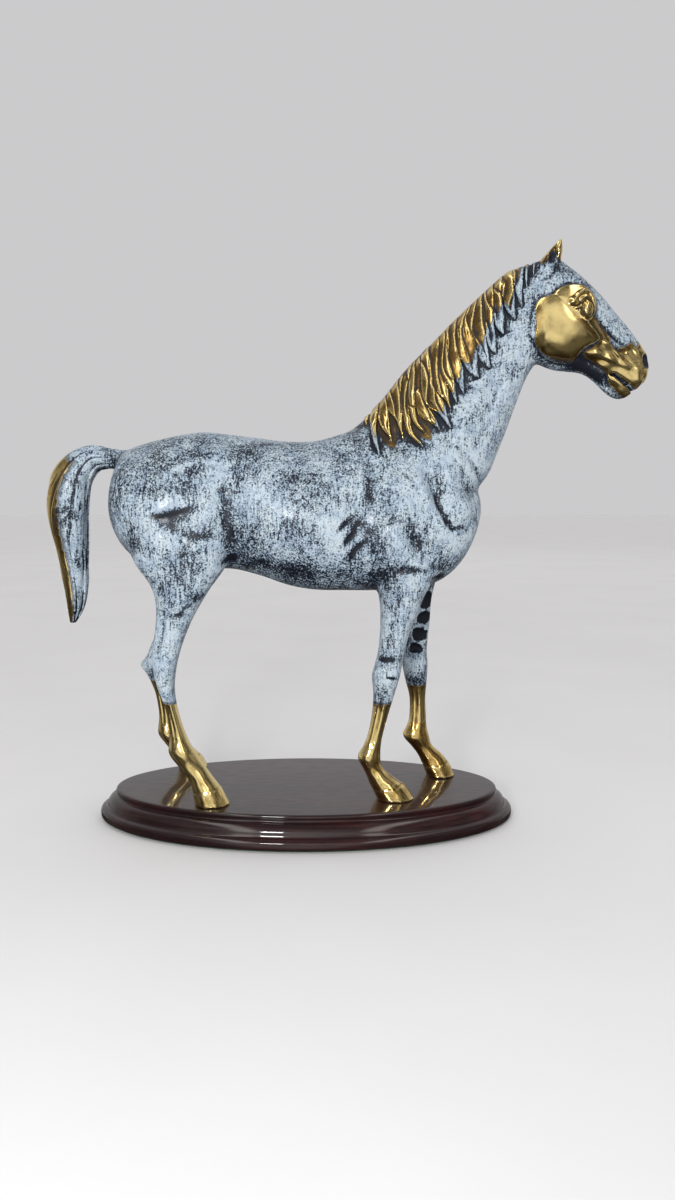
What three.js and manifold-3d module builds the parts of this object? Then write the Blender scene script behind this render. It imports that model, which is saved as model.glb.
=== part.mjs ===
// Bronze statuette of a standing horse on an oval wooden plinth.
// Units are millimetres. +X runs from tail to head, +Y to the horse's left, +Z up.
// The origin is the centre of the plinth's underside.
import * as THREE from "three";
import { LoftGeometry } from "three/addons/geometries/LoftGeometry.js";
import { mergeVertices } from "three/addons/utils/BufferGeometryUtils.js";
import Module from "manifold-3d";

const wasm = await Module();
wasm.setup();

// ---------------------------------------------------------------- driving dimensions

const GAP = 0.3; // clearance between touching pieces
const WALL = 4; // thickness of the hollow castings

const FELT_THICKNESS = 1;
const PLINTH_TOP = 19;
const PLINTH_FOOT_LENGTH = 263;
const PLINTH_FOOT_WIDTH = 132;
const PLINTH_SEGMENTS = 64;

const STUD_RADIUS = 2;
const STUD_TOP = 30;
const STUD_BOTTOM = 3.2;
const COUNTERBORE_RADIUS = 7;
const COUNTERBORE_TOP = 9;
const WASHER_RADIUS = 5.5;
const WASHER_THICKNESS = 1;
const NUT_ACROSS_CORNERS = 8.1;
const NUT_HEIGHT = 3.2;
const ROUND_SEGMENTS = 16;

// Plinth moulding: how far each level stands in from the foot ellipse, and its height.
const PLINTH_PROFILE = [
  [1.2, FELT_THICKNESS + GAP],
  [0, 2.6],
  [0, 5.2],
  [1.1, 7],
  [3.4, 7.9],
  [4.6, 9.2],
  [5.2, 11],
  [6.8, 13],
  [9.2, 14.6],
  [10.2, 15.2],
  [10.2, 16.4],
  [9.9, 17.6],
  [10.9, PLINTH_TOP],
];

// Each station is a ring round a limb: the two ends of the ring in the XZ plane, its centre in Y,
// its half width across Y, and how square it is (2 is an ellipse).

// Torso rings stand upright, from the rump to the chest: x, back height, belly height, half width.
const TORSO = [
  [-118.6, 206, 190, 10, 2],
  [-117.2, 213, 184, 20, 2],
  [-114.4, 222, 177, 27, 2.1],
  [-110.2, 229.5, 171, 32, 2.2],
  [-103, 233.3, 165, 35.5, 2.3],
  [-91, 236.7, 161, 38.5, 2.4],
  [-75, 240.3, 159, 40, 2.4],
  [-60, 242.4, 158, 39.5, 2.3],
  [-44, 240.8, 158.2, 38.2, 2.1],
  [-27, 238.6, 154, 39.4, 2],
  [-11, 236.6, 148, 41.5, 2],
  [7, 237, 144.8, 42.5, 2],
  [25, 240, 145, 41.5, 2.1],
  [45, 238, 145.4, 39, 2.2],
  [65, 231, 147, 36.5, 2.2],
  [80, 224, 149.5, 34, 2.2],
  [92, 217, 158, 30, 2.2],
  [102, 210, 172, 24, 2.1],
  [107, 203, 187, 15, 2],
  [108.6, 199, 193, 6, 2],
].map(([x, top, bottom, half, square]) => ring([x, top], [x, bottom], 0, half, square, 0.08));

// Neck rings run from the withers and chest up to the poll: crest point, throat point, half width.
const NECK = [
  [32, 231, 100, 198, 25],
  [24, 240.6, 108, 208.4, 27],
  [36, 250.8, 112.8, 217.6, 25.5],
  [48, 263, 118, 229, 22.5],
  [61, 279.2, 122.5, 240, 19.5],
  [76, 293.8, 126.5, 251.5, 17.2],
  [91, 308.8, 131, 264.5, 15.6],
  [107, 323.8, 135, 275, 14.6],
  [121, 335.8, 139, 281.5, 14],
  [131, 340.4, 143, 284, 13.6],
].map(([x1, z1, x2, z2, half]) => ring([x1, z1], [x2, z2], 0, half, 2, 0.32));

// Head rings run from behind the jaw to the lips: face point, jaw point, half width.
const HEAD = [
  [132, 340.8, 139, 283, 13],
  [143, 344.2, 144, 281.4, 14.6],
  [152, 343.4, 151, 278.9, 15.4],
  [158, 339.6, 157, 278.2, 15.6],
  [165, 334.4, 163, 277.8, 15.2],
  [171, 329, 168.5, 276.9, 14],
  [179, 321.7, 174, 273.6, 12.2],
  [187, 313.2, 179, 268.6, 10.3],
  [195, 304.3, 183.4, 264.2, 9],
  [201, 296.9, 187.6, 261.8, 8.6],
  [205.4, 291.7, 191.5, 261, 9],
  [208, 285.4, 195.4, 262.2, 9],
  [208.9, 279.4, 198.6, 264.8, 7.8],
  [207.8, 273.8, 202.2, 267.8, 4.4],
].map(([x1, z1, x2, z2, half]) => ring([x1, z1], [x2, z2], 0, half, 2.1, -0.12));

// Ear rings: back point, front point, half width; the centre leans outwards as the ear rises.
const EAR = [
  [139.6, 338, 151, 338.6, 8.2, 3.9],
  [140.4, 341.4, 151.8, 341.6, 8.8, 4.4],
  [142.6, 345, 152.4, 344.8, 9.6, 4.4],
  [145.8, 348.8, 152.4, 348.6, 10.4, 3.4],
  [148.6, 352.2, 151.9, 352, 10.9, 2],
  [150.2, 354.2, 151.3, 354.1, 11.1, 0.7],
].map(([x1, z1, x2, z2, y, half]) => ring([x1, z1], [x2, z2], y, half, 2, 0));

// Tail rings run from the dock to the tip: outer point, inner point, half width.
const TAIL = [
  [-107, 231, -110, 220.5, 5.5],
  [-118.5, 232.8, -121.5, 219.6, 7.2],
  [-132, 234.5, -126.8, 218.8, 8.2],
  [-144.5, 230, -130.5, 212.5, 9.6],
  [-154.5, 219.7, -132.8, 203, 11],
  [-160.2, 202, -134.2, 190, 11.5],
  [-159, 184, -134.6, 176, 11],
  [-154.5, 165, -135.2, 160, 9.6],
  [-151, 148, -136.6, 146, 7.8],
  [-149.5, 135, -139.6, 133.5, 5.5],
  [-148.6, 124, -144.6, 124, 1.8],
].map(([x1, z1, x2, z2, half]) => ring([x1, z1], [x2, z2], 0, half, 2, 0.1));

// Leg rings: height, rear x, front x, centre y, half width. They run from the spigot down to the sole.
const SOLE = PLINTH_TOP + GAP;
const LEGS = {
  right_fore: {
    stud: [53.5, -26],
    rings: [
      [163, 50, 70, -16, 7],
      [156, 45.5, 75, -18, 10.5],
      [147, 44, 74.8, -20, 13.4],
      [135, 45.4, 69.2, -21.5, 12],
      [124, 45.7, 64.4, -22.5, 10.3],
      [112, 44.8, 61.1, -23.5, 9],
      [103, 42.8, 59.2, -24, 8.8],
      [95, 40.8, 57.8, -24.3, 9],
      [86, 41.6, 55.2, -24.6, 7.6],
      [74, 41.2, 51.6, -25, 5.4],
      [60, 38.8, 47.8, -25.3, 4.8],
      [52, 36, 46.4, -25.5, 5.4],
      [45, 32.8, 45.7, -25.6, 6.6],
      [38, 35.6, 47.9, -25.8, 6],
      [31, 39.4, 54.4, -26, 7.2],
      [26, 41.3, 60.2, -26, 8.3],
      [SOLE, 45.2, 66, -26, 9.4],
    ],
  },
  left_fore: {
    stud: [87, 19],
    rings: [
      [163, 58, 78, 16, 7],
      [156, 55, 81, 18, 10.5],
      [146, 56, 83, 20, 13.2],
      [135, 58.5, 81, 20, 11.8],
      [124, 60, 80.2, 19.6, 10.3],
      [112, 61.4, 78.9, 19.2, 9],
      [103, 62, 78.4, 19, 8.8],
      [94, 62.4, 79, 19, 9],
      [84, 64.4, 78.6, 19, 7.4],
      [72, 67.4, 77.8, 19, 5.4],
      [59, 67.4, 78.4, 19, 4.8],
      [53, 66, 78.8, 19, 5.6],
      [46, 64, 79.8, 19, 6.6],
      [39, 69, 83, 19, 6],
      [32, 74.2, 90.6, 19, 7.2],
      [26.4, 76.2, 94.4, 19, 8.3],
      [SOLE, 79.6, 97.4, 19, 9.4],
    ],
  },
  right_hind: {
    stud: [-58.5, -36],
    rings: [
      [180, -84, -62, -19, 7],
      [171, -92, -55, -21, 10],
      [161, -97, -48, -24, 13.5],
      [151, -92, -53.8, -27, 13.2],
      [141, -88.3, -60, -29.2, 11.6],
      [130, -87.8, -66.2, -31.2, 9.8],
      [119, -88.8, -71, -32.6, 8],
      [108, -90.2, -74.4, -33.6, 7.2],
      [100, -89.2, -76, -34.2, 7.4],
      [90, -86.8, -76.9, -34.8, 6.4],
      [78, -82.6, -75.4, -35.2, 4.9],
      [64, -80.2, -71.4, -35.6, 4.9],
      [52, -80.6, -66, -36, 6.4],
      [43, -75.8, -60, -36, 6],
      [35, -69.4, -54.4, -36, 6.8],
      [28, -67.4, -49.6, -36, 8.2],
      [SOLE, -65.8, -45, -36, 9.4],
    ],
  },
  left_hind: {
    stud: [-80.5, 34.5],
    rings: [
      [180, -98, -72, 18, 7],
      [171, -105, -66, 21, 10],
      [161, -107, -58, 24, 13.4],
      [150, -102.6, -62, 27.2, 13],
      [138, -99.5, -72, 29.4, 11.4],
      [126, -98.6, -80, 31.4, 9.6],
      [114, -100.8, -86.6, 32.6, 8],
      [104, -105, -91.4, 33.4, 7.2],
      [97, -107.9, -93.4, 33.7, 7.3],
      [91, -110.6, -94.8, 33.8, 7.2],
      [85, -108.6, -95.6, 34, 6.5],
      [79, -105.6, -95.4, 34, 5.8],
      [70, -102.6, -93.8, 34.2, 4.9],
      [57, -100.9, -91.6, 34.4, 4.9],
      [44, -101.2, -88.4, 34.5, 6.4],
      [36, -97, -82, 34.5, 6],
      [30, -91.4, -75.6, 34.5, 7],
      [26, -89.6, -72, 34.5, 8.3],
      [SOLE, -88, -68.8, 34.5, 9.4],
    ],
  },
};

// ---------------------------------------------------------------- materials

const BRONZE = finish(0xb4c2cc, 0.35, 0.6);
const MAHOGANY = finish(0x2a120d, 0.25, 0);
const BAIZE = finish(0x1d3a2a, 0.95, 0);
const STEEL = finish(0x9a9a98, 0.45, 1);

function finish(color, roughness, metalness) {
  return { color, roughness, metalness };
}

// ---------------------------------------------------------------- solids

function ring(from, to, y, half, square, taper) {
  return { from, to, y, half, square, taper };
}

// A ring drawn in or out by the same amount all round.
function grown(station, by) {
  const [x1, z1] = station.from;
  const [x2, z2] = station.to;
  const reach = Math.hypot(x2 - x1, z2 - z1);
  const ux = (x1 - x2) / reach;
  const uz = (z1 - z2) / reach;
  const end = Math.max(by, 0.5 - reach / 2);
  return {
    ...station,
    from: [x1 + ux * end, z1 + uz * end],
    to: [x2 - ux * end, z2 - uz * end],
    half: Math.max(station.half + by, 0.5),
  };
}

function ringPoints(station, sides) {
  const { from, to, y, half, square, taper } = station;
  const points = [];
  for (let i = 0; i < sides; i++) {
    const angle = (2 * Math.PI * i) / sides;
    const along = rounded(Math.cos(angle), square);
    const across = rounded(Math.sin(angle), square) * (1 - taper * along);
    const t = (1 - along) / 2;
    points.push(new THREE.Vector3(
      from[0] + (to[0] - from[0]) * t,
      y + half * across,
      from[1] + (to[1] - from[1]) * t,
    ));
  }
  return points;
}

function rounded(value, square) {
  return Math.sign(value) * Math.abs(value) ** (2 / square);
}

// A closed body skinned through the rings, whichever way they wind.
function loft(stations, sides, by = 0) {
  const sections = stations.map((station) => ringPoints(grown(station, by), sides));
  const travel = middle(sections.at(-1)).sub(middle(sections[0]));
  if (facing(sections[0]).dot(travel) < 0) {
    sections.forEach((points) => points.reverse());
  }
  return asSolid(new LoftGeometry(sections, { capStart: true, capEnd: true }));
}

function middle(points) {
  const sum = points.reduce((total, point) => total.add(point), new THREE.Vector3());
  return sum.divideScalar(points.length);
}

// The direction from which a ring's points run counter-clockwise.
function facing(points) {
  const centre = middle(points);
  const spoke = (i) => points[i].clone().sub(centre);
  return spoke(0).cross(spoke(Math.floor(points.length / 4)));
}

function asSolid(geometry) {
  const bare = geometry.index ? geometry.toNonIndexed() : geometry;
  bare.deleteAttribute("normal");
  bare.deleteAttribute("uv");
  const welded = mergeVertices(bare, 1e-4);
  return new wasm.Manifold(new wasm.Mesh({
    numProp: 3,
    vertProperties: new Float32Array(welded.attributes.position.array),
    triVerts: new Uint32Array(welded.index.array),
  }));
}

function asMesh(name, solid, look) {
  const { vertProperties, triVerts } = solid.getMesh();
  const geometry = new THREE.BufferGeometry();
  geometry.setAttribute("position", new THREE.BufferAttribute(vertProperties, 3));
  geometry.setIndex(new THREE.BufferAttribute(triVerts, 1));
  geometry.computeVertexNormals();
  const mesh = new THREE.Mesh(geometry, new THREE.MeshStandardMaterial(look));
  mesh.name = name;
  return mesh;
}

// An upright cylinder from one height to another.
function post(x, y, radius, bottom, top, sides = ROUND_SEGMENTS) {
  const geometry = new THREE.CylinderGeometry(radius, radius, top - bottom, sides);
  geometry.rotateX(Math.PI / 2);
  geometry.translate(x, y, (top + bottom) / 2);
  return asSolid(geometry);
}

// An upright elliptical slab skinned through [inset, height] levels.
function oval(levels) {
  const sections = levels.map(([inset, z]) => {
    const points = [];
    for (let i = 0; i < PLINTH_SEGMENTS; i++) {
      const angle = (2 * Math.PI * i) / PLINTH_SEGMENTS;
      points.push(new THREE.Vector3(
        (PLINTH_FOOT_LENGTH / 2 - inset) * Math.cos(angle),
        (PLINTH_FOOT_WIDTH / 2 - inset) * Math.sin(angle),
        z,
      ));
    }
    return points;
  });
  return asSolid(new LoftGeometry(sections, { capStart: true, capEnd: true }));
}

// ---------------------------------------------------------------- castings

const TORSO_SIDES = 24;
const NECK_SIDES = 20;
const HEAD_SIDES = 16;
const LEG_SIDES = 12;
const EAR_SIDES = 8;

function legStations(name) {
  return LEGS[name].rings.map(([z, rear, front, y, half]) => ring([front, z], [rear, z], y, half, 2.1, 0));
}

// The same rings with the open end drawn out past the wall, so that a hollow opens there.
function hollowStations(stations, extra) {
  const [first, second] = stations;
  const away = (end) => [
    first[end][0] + (first[end][0] - second[end][0]) * extra,
    first[end][1] + (first[end][1] - second[end][1]) * extra,
  ];
  return [{ ...first, from: away("from"), to: away("to") }, ...stations];
}

// The barrel, shoulders and haunches: a hollow shell with sockets for the other castings.
function torsoCasting() {
  const cavity = TORSO.slice(2, -2);
  let body = loft(TORSO, TORSO_SIDES).subtract(loft(cavity, TORSO_SIDES, -WALL));
  body = body.subtract(loft(NECK.slice(0, 4), NECK_SIDES, GAP));
  body = body.subtract(loft(TAIL.slice(0, 4), LEG_SIDES, GAP));
  for (const name of Object.keys(LEGS)) {
    body = body.subtract(loft(legStations(name).slice(0, 5), LEG_SIDES, GAP));
  }
  return body;
}

function neckCasting() {
  const shell = loft(NECK, NECK_SIDES).subtract(loft(hollowStations(NECK, 1).slice(0, -1), NECK_SIDES, -WALL));
  return shell.subtract(loft(HEAD.slice(0, 4), HEAD_SIDES, GAP));
}

// The skull is hollow to the eyes and open at the back, and the ears are cast with it.
function headCasting() {
  const hollow = hollowStations(HEAD.slice(0, 7), 1);
  let head = loft(HEAD, HEAD_SIDES);
  for (const side of [1, -1]) {
    const ear = EAR.map((station) => ({ ...station, y: station.y * side }));
    head = head.add(loft(ear, EAR_SIDES));
  }
  return head.subtract(loft(hollow, HEAD_SIDES, -WALL));
}

function tailCasting() {
  return loft(TAIL, LEG_SIDES);
}

function legCasting(name) {
  const [x, y] = LEGS[name].stud;
  const tapped = post(x, y, STUD_RADIUS + GAP, SOLE - 1, STUD_TOP + 1);
  return loft(legStations(name), LEG_SIDES).subtract(tapped);
}

// ---------------------------------------------------------------- plinth and fixings

function plinth() {
  let board = oval(PLINTH_PROFILE);
  for (const { stud } of Object.values(LEGS)) {
    const [x, y] = stud;
    board = board.subtract(post(x, y, STUD_RADIUS + GAP, 0, PLINTH_TOP + 1));
    board = board.subtract(post(x, y, COUNTERBORE_RADIUS, 0, COUNTERBORE_TOP));
  }
  return board;
}

function feltSheet() {
  return oval([[3, 0], [3, FELT_THICKNESS]]);
}

function stud([x, y]) {
  return post(x, y, STUD_RADIUS, STUD_BOTTOM, STUD_TOP);
}

function washer([x, y]) {
  const top = COUNTERBORE_TOP - GAP;
  const disc = post(x, y, WASHER_RADIUS, top - WASHER_THICKNESS, top);
  return disc.subtract(post(x, y, STUD_RADIUS + GAP, 0, PLINTH_TOP));
}

function nut([x, y]) {
  const top = COUNTERBORE_TOP - 2 * GAP - WASHER_THICKNESS;
  const block = post(x, y, NUT_ACROSS_CORNERS / 2, top - NUT_HEIGHT, top, 6);
  return block.subtract(post(x, y, STUD_RADIUS + GAP, 0, PLINTH_TOP));
}

// ---------------------------------------------------------------- assembly

const statue = new THREE.Group();
statue.add(asMesh("torso_casting", torsoCasting(), BRONZE));
statue.add(asMesh("neck_casting", neckCasting(), BRONZE));
statue.add(asMesh("head_casting", headCasting(), BRONZE));
statue.add(asMesh("tail_casting", tailCasting(), BRONZE));
statue.add(asMesh("plinth", plinth(), MAHOGANY));
statue.add(asMesh("plinth_felt", feltSheet(), BAIZE));
for (const [name, leg] of Object.entries(LEGS)) {
  statue.add(asMesh(`${name}_leg_casting`, legCasting(name), BRONZE));
  statue.add(asMesh(`${name}_stud`, stud(leg.stud), STEEL));
  statue.add(asMesh(`${name}_washer`, washer(leg.stud), STEEL));
  statue.add(asMesh(`${name}_nut`, nut(leg.stud), STEEL));
}

export default statue;
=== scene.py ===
"""A bronze horse statuette on an oval plinth: the looks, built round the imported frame.

The castings are sculpted here as one skin: lofted limbs are fused, muscles and hair are raised on it,
and it is then parted along the casting seams. Shapes are worked out in millimetres and put down in metres.
"""

import math

import bmesh
import bpy
import numpy as np
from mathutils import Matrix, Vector


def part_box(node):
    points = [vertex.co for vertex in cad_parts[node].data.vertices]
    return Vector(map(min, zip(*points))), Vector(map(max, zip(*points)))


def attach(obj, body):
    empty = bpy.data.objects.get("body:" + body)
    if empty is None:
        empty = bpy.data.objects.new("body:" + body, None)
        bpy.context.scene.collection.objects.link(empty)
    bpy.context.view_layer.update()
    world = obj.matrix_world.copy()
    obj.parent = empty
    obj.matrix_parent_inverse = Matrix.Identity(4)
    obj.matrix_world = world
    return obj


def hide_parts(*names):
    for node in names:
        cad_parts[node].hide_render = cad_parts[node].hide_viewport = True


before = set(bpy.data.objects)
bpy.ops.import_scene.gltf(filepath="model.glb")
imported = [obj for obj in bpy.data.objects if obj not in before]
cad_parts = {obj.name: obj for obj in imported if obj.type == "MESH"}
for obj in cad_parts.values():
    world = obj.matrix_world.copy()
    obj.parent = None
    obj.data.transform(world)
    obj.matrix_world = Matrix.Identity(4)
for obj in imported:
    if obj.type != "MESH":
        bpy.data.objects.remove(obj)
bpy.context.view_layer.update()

MM = 0.001
BOTH, RIGHT, LEFT = 0, -1, 1

# ---------------------------------------------------------------- limbs, in millimetres

# Rings of the torso stand upright: x, back, belly, half width, squareness, taper towards the back.
TORSO = [
    (-118.6, 206, 190, 10, 2.0, 0.0),
    (-117.2, 213, 184, 20, 2.0, 0.02),
    (-114.4, 222, 177, 27, 2.1, 0.05),
    (-110.2, 229.5, 171, 32, 2.2, 0.08),
    (-103.0, 233.3, 165, 36, 2.3, 0.1),
    (-91.0, 236.7, 161, 38.5, 2.4, 0.12),
    (-75.0, 240.3, 159, 39.5, 2.4, 0.14),
    (-60.0, 242.5, 158, 39.0, 2.3, 0.14),
    (-44.0, 240.8, 158.2, 37.6, 2.1, 0.1),
    (-27.0, 238.7, 154, 39.4, 2.0, 0.06),
    (-11.0, 236.6, 148, 41.6, 2.0, 0.04),
    (7.0, 236.8, 144.8, 42.5, 2.0, 0.06),
    (25.0, 242.0, 145, 41.2, 2.1, 0.14),
    (45.0, 247.0, 145.4, 38.6, 2.2, 0.22),
    (65.0, 243.0, 147, 36.2, 2.2, 0.26),
    (80.0, 234.0, 149.5, 33.4, 2.2, 0.24),
    (92.0, 223.0, 157.6, 29.6, 2.2, 0.16),
    (101.0, 212.0, 170, 24.5, 2.1, 0.1),
    (106.0, 206.0, 182, 17, 2.0, 0.05),
    (108.6, 200.0, 192, 7, 2.0, 0.0),
]

# Rings of the neck: crest x and z, throat x and z, half width.
NECK = [
    (30, 226, 92, 196, 22),
    (25, 239.4, 104, 206, 26.5),
    (37, 251.2, 112.6, 216, 25),
    (49, 263.6, 118, 229, 22.3),
    (62, 279.8, 122.5, 240, 19.6),
    (77, 294.2, 126.5, 251.5, 17.4),
    (92, 309.2, 131, 264.5, 15.8),
    (108, 324.2, 135, 275, 14.8),
    (121.6, 335.6, 140, 283, 14.2),
    (133, 340.4, 146, 290, 13.4),
    (141, 339, 152, 300, 11),
]

# Rings of the head: face x and z, jaw x and z, half width, taper towards the jaw.
HEAD = [
    (131, 337, 139, 290, 11, 0.0),
    (137, 341.6, 140.5, 284, 13.4, 0.0),
    (144.6, 344.2, 145, 281.2, 14.8, 0.02),
    (152, 343.6, 151, 278.9, 15.5, 0.0),
    (158, 339.6, 157, 278.2, 15.6, -0.04),
    (165, 334.4, 163, 277.8, 15.3, -0.1),
    (171, 329.0, 168.5, 276.9, 14.2, -0.14),
    (179, 321.7, 174, 273.6, 12.3, -0.14),
    (187, 313.2, 179, 268.6, 10.3, -0.1),
    (195, 304.3, 183.4, 264.2, 9.0, -0.04),
    (201, 296.9, 187.6, 261.8, 8.6, 0.0),
    (205.4, 291.7, 191.5, 261.0, 9.0, 0.06),
    (208.0, 285.4, 195.4, 262.2, 9.0, 0.08),
    (208.9, 279.4, 198.6, 264.8, 7.9, 0.08),
    (208.2, 274.6, 201.5, 267.2, 5.4, 0.04),
    (206.2, 271.6, 203.6, 268.8, 2.4, 0.0),
]

# Rings of an ear: back x and z, front x and z, centre y, half width.
EAR = [
    (138.6, 335, 150, 336, 7.6, 3.4),
    (140.0, 340.6, 151.6, 341.0, 8.6, 4.4),
    (142.6, 345.0, 152.4, 344.8, 9.6, 4.5),
    (145.8, 348.8, 152.4, 348.6, 10.4, 3.5),
    (148.6, 352.2, 151.9, 352.0, 10.9, 2.0),
    (150.2, 354.2, 151.3, 354.1, 11.1, 0.6),
]

# Rings of the tail: outer x and z, inner x and z, half width.
TAIL = [
    (-103, 230, -107, 221, 4.5),
    (-111, 232.0, -115, 220.5, 6.2),
    (-119, 232.9, -121.5, 219.6, 7.2),
    (-132, 234.5, -126.8, 218.8, 8.2),
    (-144.5, 230, -130.5, 212.5, 9.6),
    (-154.5, 219.7, -132.8, 203, 11),
    (-160.2, 202, -134.2, 190, 11.5),
    (-159, 184, -134.6, 176, 11),
    (-154.5, 165, -135.2, 160, 9.6),
    (-151, 148, -136.6, 146, 7.8),
    (-149.5, 135, -139.6, 133.5, 5.5),
    (-148.6, 124, -144.6, 124, 1.6),
]

# Rings of the legs: height, rear x, front x, centre y, half width, from inside the torso to the sole.
SOLE = 19.0
LEGS = {
    "right_fore": [
        (196, 50, 82, -24, 11),
        (180, 46, 82, -24, 13.5),
        (163, 44.5, 80, -22.5, 14.5),
        (152, 44.0, 77, -21.5, 14.0),
        (144, 44.4, 73.0, -21.5, 13.2),
        (135, 45.4, 69.2, -22.0, 12.0),
        (124, 45.7, 64.4, -22.8, 10.4),
        (112, 44.8, 61.1, -23.5, 9.0),
        (103, 42.8, 59.2, -24.0, 8.8),
        (95, 40.8, 57.8, -24.3, 9.0),
        (86, 41.6, 55.2, -24.6, 7.6),
        (74, 41.2, 51.6, -25.0, 5.6),
        (60, 38.8, 47.8, -25.3, 5.0),
        (52, 36.0, 46.4, -25.5, 5.6),
        (45, 32.8, 45.7, -25.6, 6.6),
        (38, 35.6, 47.9, -25.8, 6.0),
        (32, 38.4, 54.6, -26.0, 7.2),
        (27, 40.4, 61.0, -26.0, 8.6),
        (SOLE, 44.6, 67.0, -26.0, 9.8),
    ],
    "left_fore": [
        (196, 54, 86, 24, 11),
        (180, 54, 87, 24, 13.5),
        (163, 55, 86, 22.5, 14.5),
        (152, 55.5, 85, 21.5, 14.0),
        (144, 56.4, 82.8, 20.5, 13.2),
        (135, 58.5, 81, 20.0, 11.8),
        (124, 60, 80.2, 19.6, 10.3),
        (112, 61.4, 78.9, 19.2, 9.0),
        (103, 62, 78.4, 19.0, 8.8),
        (94, 62.4, 79, 19.0, 9.0),
        (84, 64.4, 78.6, 19.0, 7.4),
        (72, 67.4, 77.8, 19.0, 5.4),
        (59, 67.4, 78.4, 19.0, 4.9),
        (53, 66, 78.8, 19.0, 5.6),
        (46, 64, 79.8, 19.0, 6.6),
        (39, 69, 83, 19.0, 6.0),
        (32, 74.0, 90.4, 19.0, 7.0),
        (26.4, 76.2, 94.2, 19.0, 8.4),
        (SOLE, 79.6, 97.6, 19.0, 9.6),
    ],
    "right_hind": [
        (214, -104, -62, -20, 14),
        (196, -108, -54, -22.5, 17),
        (178, -106, -47.5, -24.0, 17.5),
        (163, -100.4, -46, -25.5, 15.5),
        (151, -92.0, -53.8, -27.5, 13.4),
        (141, -88.3, -60.0, -29.4, 11.6),
        (130, -87.8, -66.2, -31.2, 9.8),
        (119, -88.8, -71.0, -32.6, 8.0),
        (108, -90.2, -74.4, -33.6, 7.2),
        (100, -89.2, -76.0, -34.2, 7.4),
        (90, -86.8, -76.9, -34.8, 6.4),
        (78, -82.6, -75.4, -35.2, 4.9),
        (64, -80.2, -71.4, -35.6, 4.9),
        (52, -80.6, -66.0, -36.0, 6.4),
        (43, -75.8, -60.0, -36.0, 6.0),
        (35, -69.4, -54.4, -36.0, 6.8),
        (28, -67.4, -49.6, -36.0, 8.2),
        (SOLE, -65.8, -45.0, -36.0, 9.4),
    ],
    "left_hind": [
        (214, -105, -66, 20, 14),
        (196, -109.5, -58, 22.5, 17),
        (178, -110.5, -52, 24.0, 17.5),
        (163, -107.5, -52, 25.5, 15.5),
        (150, -102.6, -62, 27.6, 13.2),
        (138, -99.5, -72, 29.6, 11.4),
        (126, -98.6, -80, 31.4, 9.6),
        (114, -100.8, -86.6, 32.6, 8.0),
        (104, -105.0, -91.4, 33.4, 7.2),
        (97, -107.9, -93.4, 33.7, 7.3),
        (91, -112.2, -94.8, 33.8, 7.2),
        (85, -108.6, -95.6, 34.0, 6.5),
        (79, -105.6, -95.4, 34.0, 5.8),
        (70, -102.6, -93.8, 34.2, 4.9),
        (57, -100.9, -91.6, 34.4, 4.9),
        (44, -101.2, -88.4, 34.5, 6.4),
        (36, -97, -82, 34.5, 6.0),
        (30, -91.4, -75.6, 34.5, 7.0),
        (26, -89.6, -72, 34.5, 8.3),
        (SOLE, -88, -68.8, 34.5, 9.4),
    ],
}

# ---------------------------------------------------------------- lofting


def smooth_rows(rows, per_span):
    """Catmull-Rom through the rows of a table, with the same number of steps between any two."""
    table = np.array(rows, float)
    padded = np.vstack([2 * table[0] - table[1], table, 2 * table[-1] - table[-2]])
    out = []
    for i in range(1, len(padded) - 2):
        a, b, c, d = padded[i - 1 : i + 3]
        for t in np.arange(per_span) / per_span:
            out.append(0.5 * (2 * b + (c - a) * t + (2 * a - 5 * b + 4 * c - d) * t**2
                              + (3 * b - a - 3 * c + d) * t**3))
    out.append(padded[-2])
    return np.array(out)


def ring_faces(count, sides):
    """Quads from each ring of points to the next, and a flat face over each end."""
    index = np.arange(count * sides).reshape(count, sides)
    a, b = index[:-1], index[1:]
    quads = np.stack([a, np.roll(a, -1, 1), np.roll(b, -1, 1), b], -1).reshape(-1, 4)
    return [*quads.tolist(), index[0][::-1].tolist(), index[-1].tolist()]


RING_STEPS = 5


def tube(rows, sides):
    """A closed body through rings of (x1, z1, x2, z2, y, half width, squareness, taper)."""
    rings = smooth_rows(rows, RING_STEPS)
    angle = np.arange(sides) * 2 * math.pi / sides
    x1, z1, x2, z2, y, half, square, taper = (rings[:, [k]] for k in range(8))
    cos = np.sign(np.cos(angle)) * np.abs(np.cos(angle)) ** (2 / square)
    sin = np.sign(np.sin(angle)) * np.abs(np.sin(angle)) ** (2 / square)
    t = (1 - cos) / 2
    points = [x1 + (x2 - x1) * t, y + half * sin * (1 - taper * cos), z1 + (z2 - z1) * t]
    return np.stack(points, -1).reshape(-1, 3), ring_faces(len(rings), sides)


def limb_tubes():
    """The limbs as closed bodies that run into each other."""
    torso = [(x, back, x, belly, 0, half, square, taper) for x, back, belly, half, square, taper in TORSO]
    bodies = [tube(torso, 96),
              tube([(*ends, 0, half, 2.0, 0.32) for *ends, half in NECK], 64),
              tube([(*ends, 0, half, 2.15, taper) for *ends, half, taper in HEAD], 64)]
    for side in (RIGHT, LEFT):
        bodies.append(tube([(*ends, side * y, half, 2.0, 0.0) for *ends, y, half in EAR], 32))
    bodies.append(tube([(*ends, 0, half, 2.0, 0.1) for *ends, half in TAIL], 48))
    for rows in LEGS.values():
        leg = [(front, z, rear, z, y, half, 2.1, 0.0) for z, rear, front, y, half in rows]
        bodies.append(tube(leg, 48))
    return bodies


# The size of the faces of the first skin.
VOXEL = 0.93


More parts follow.
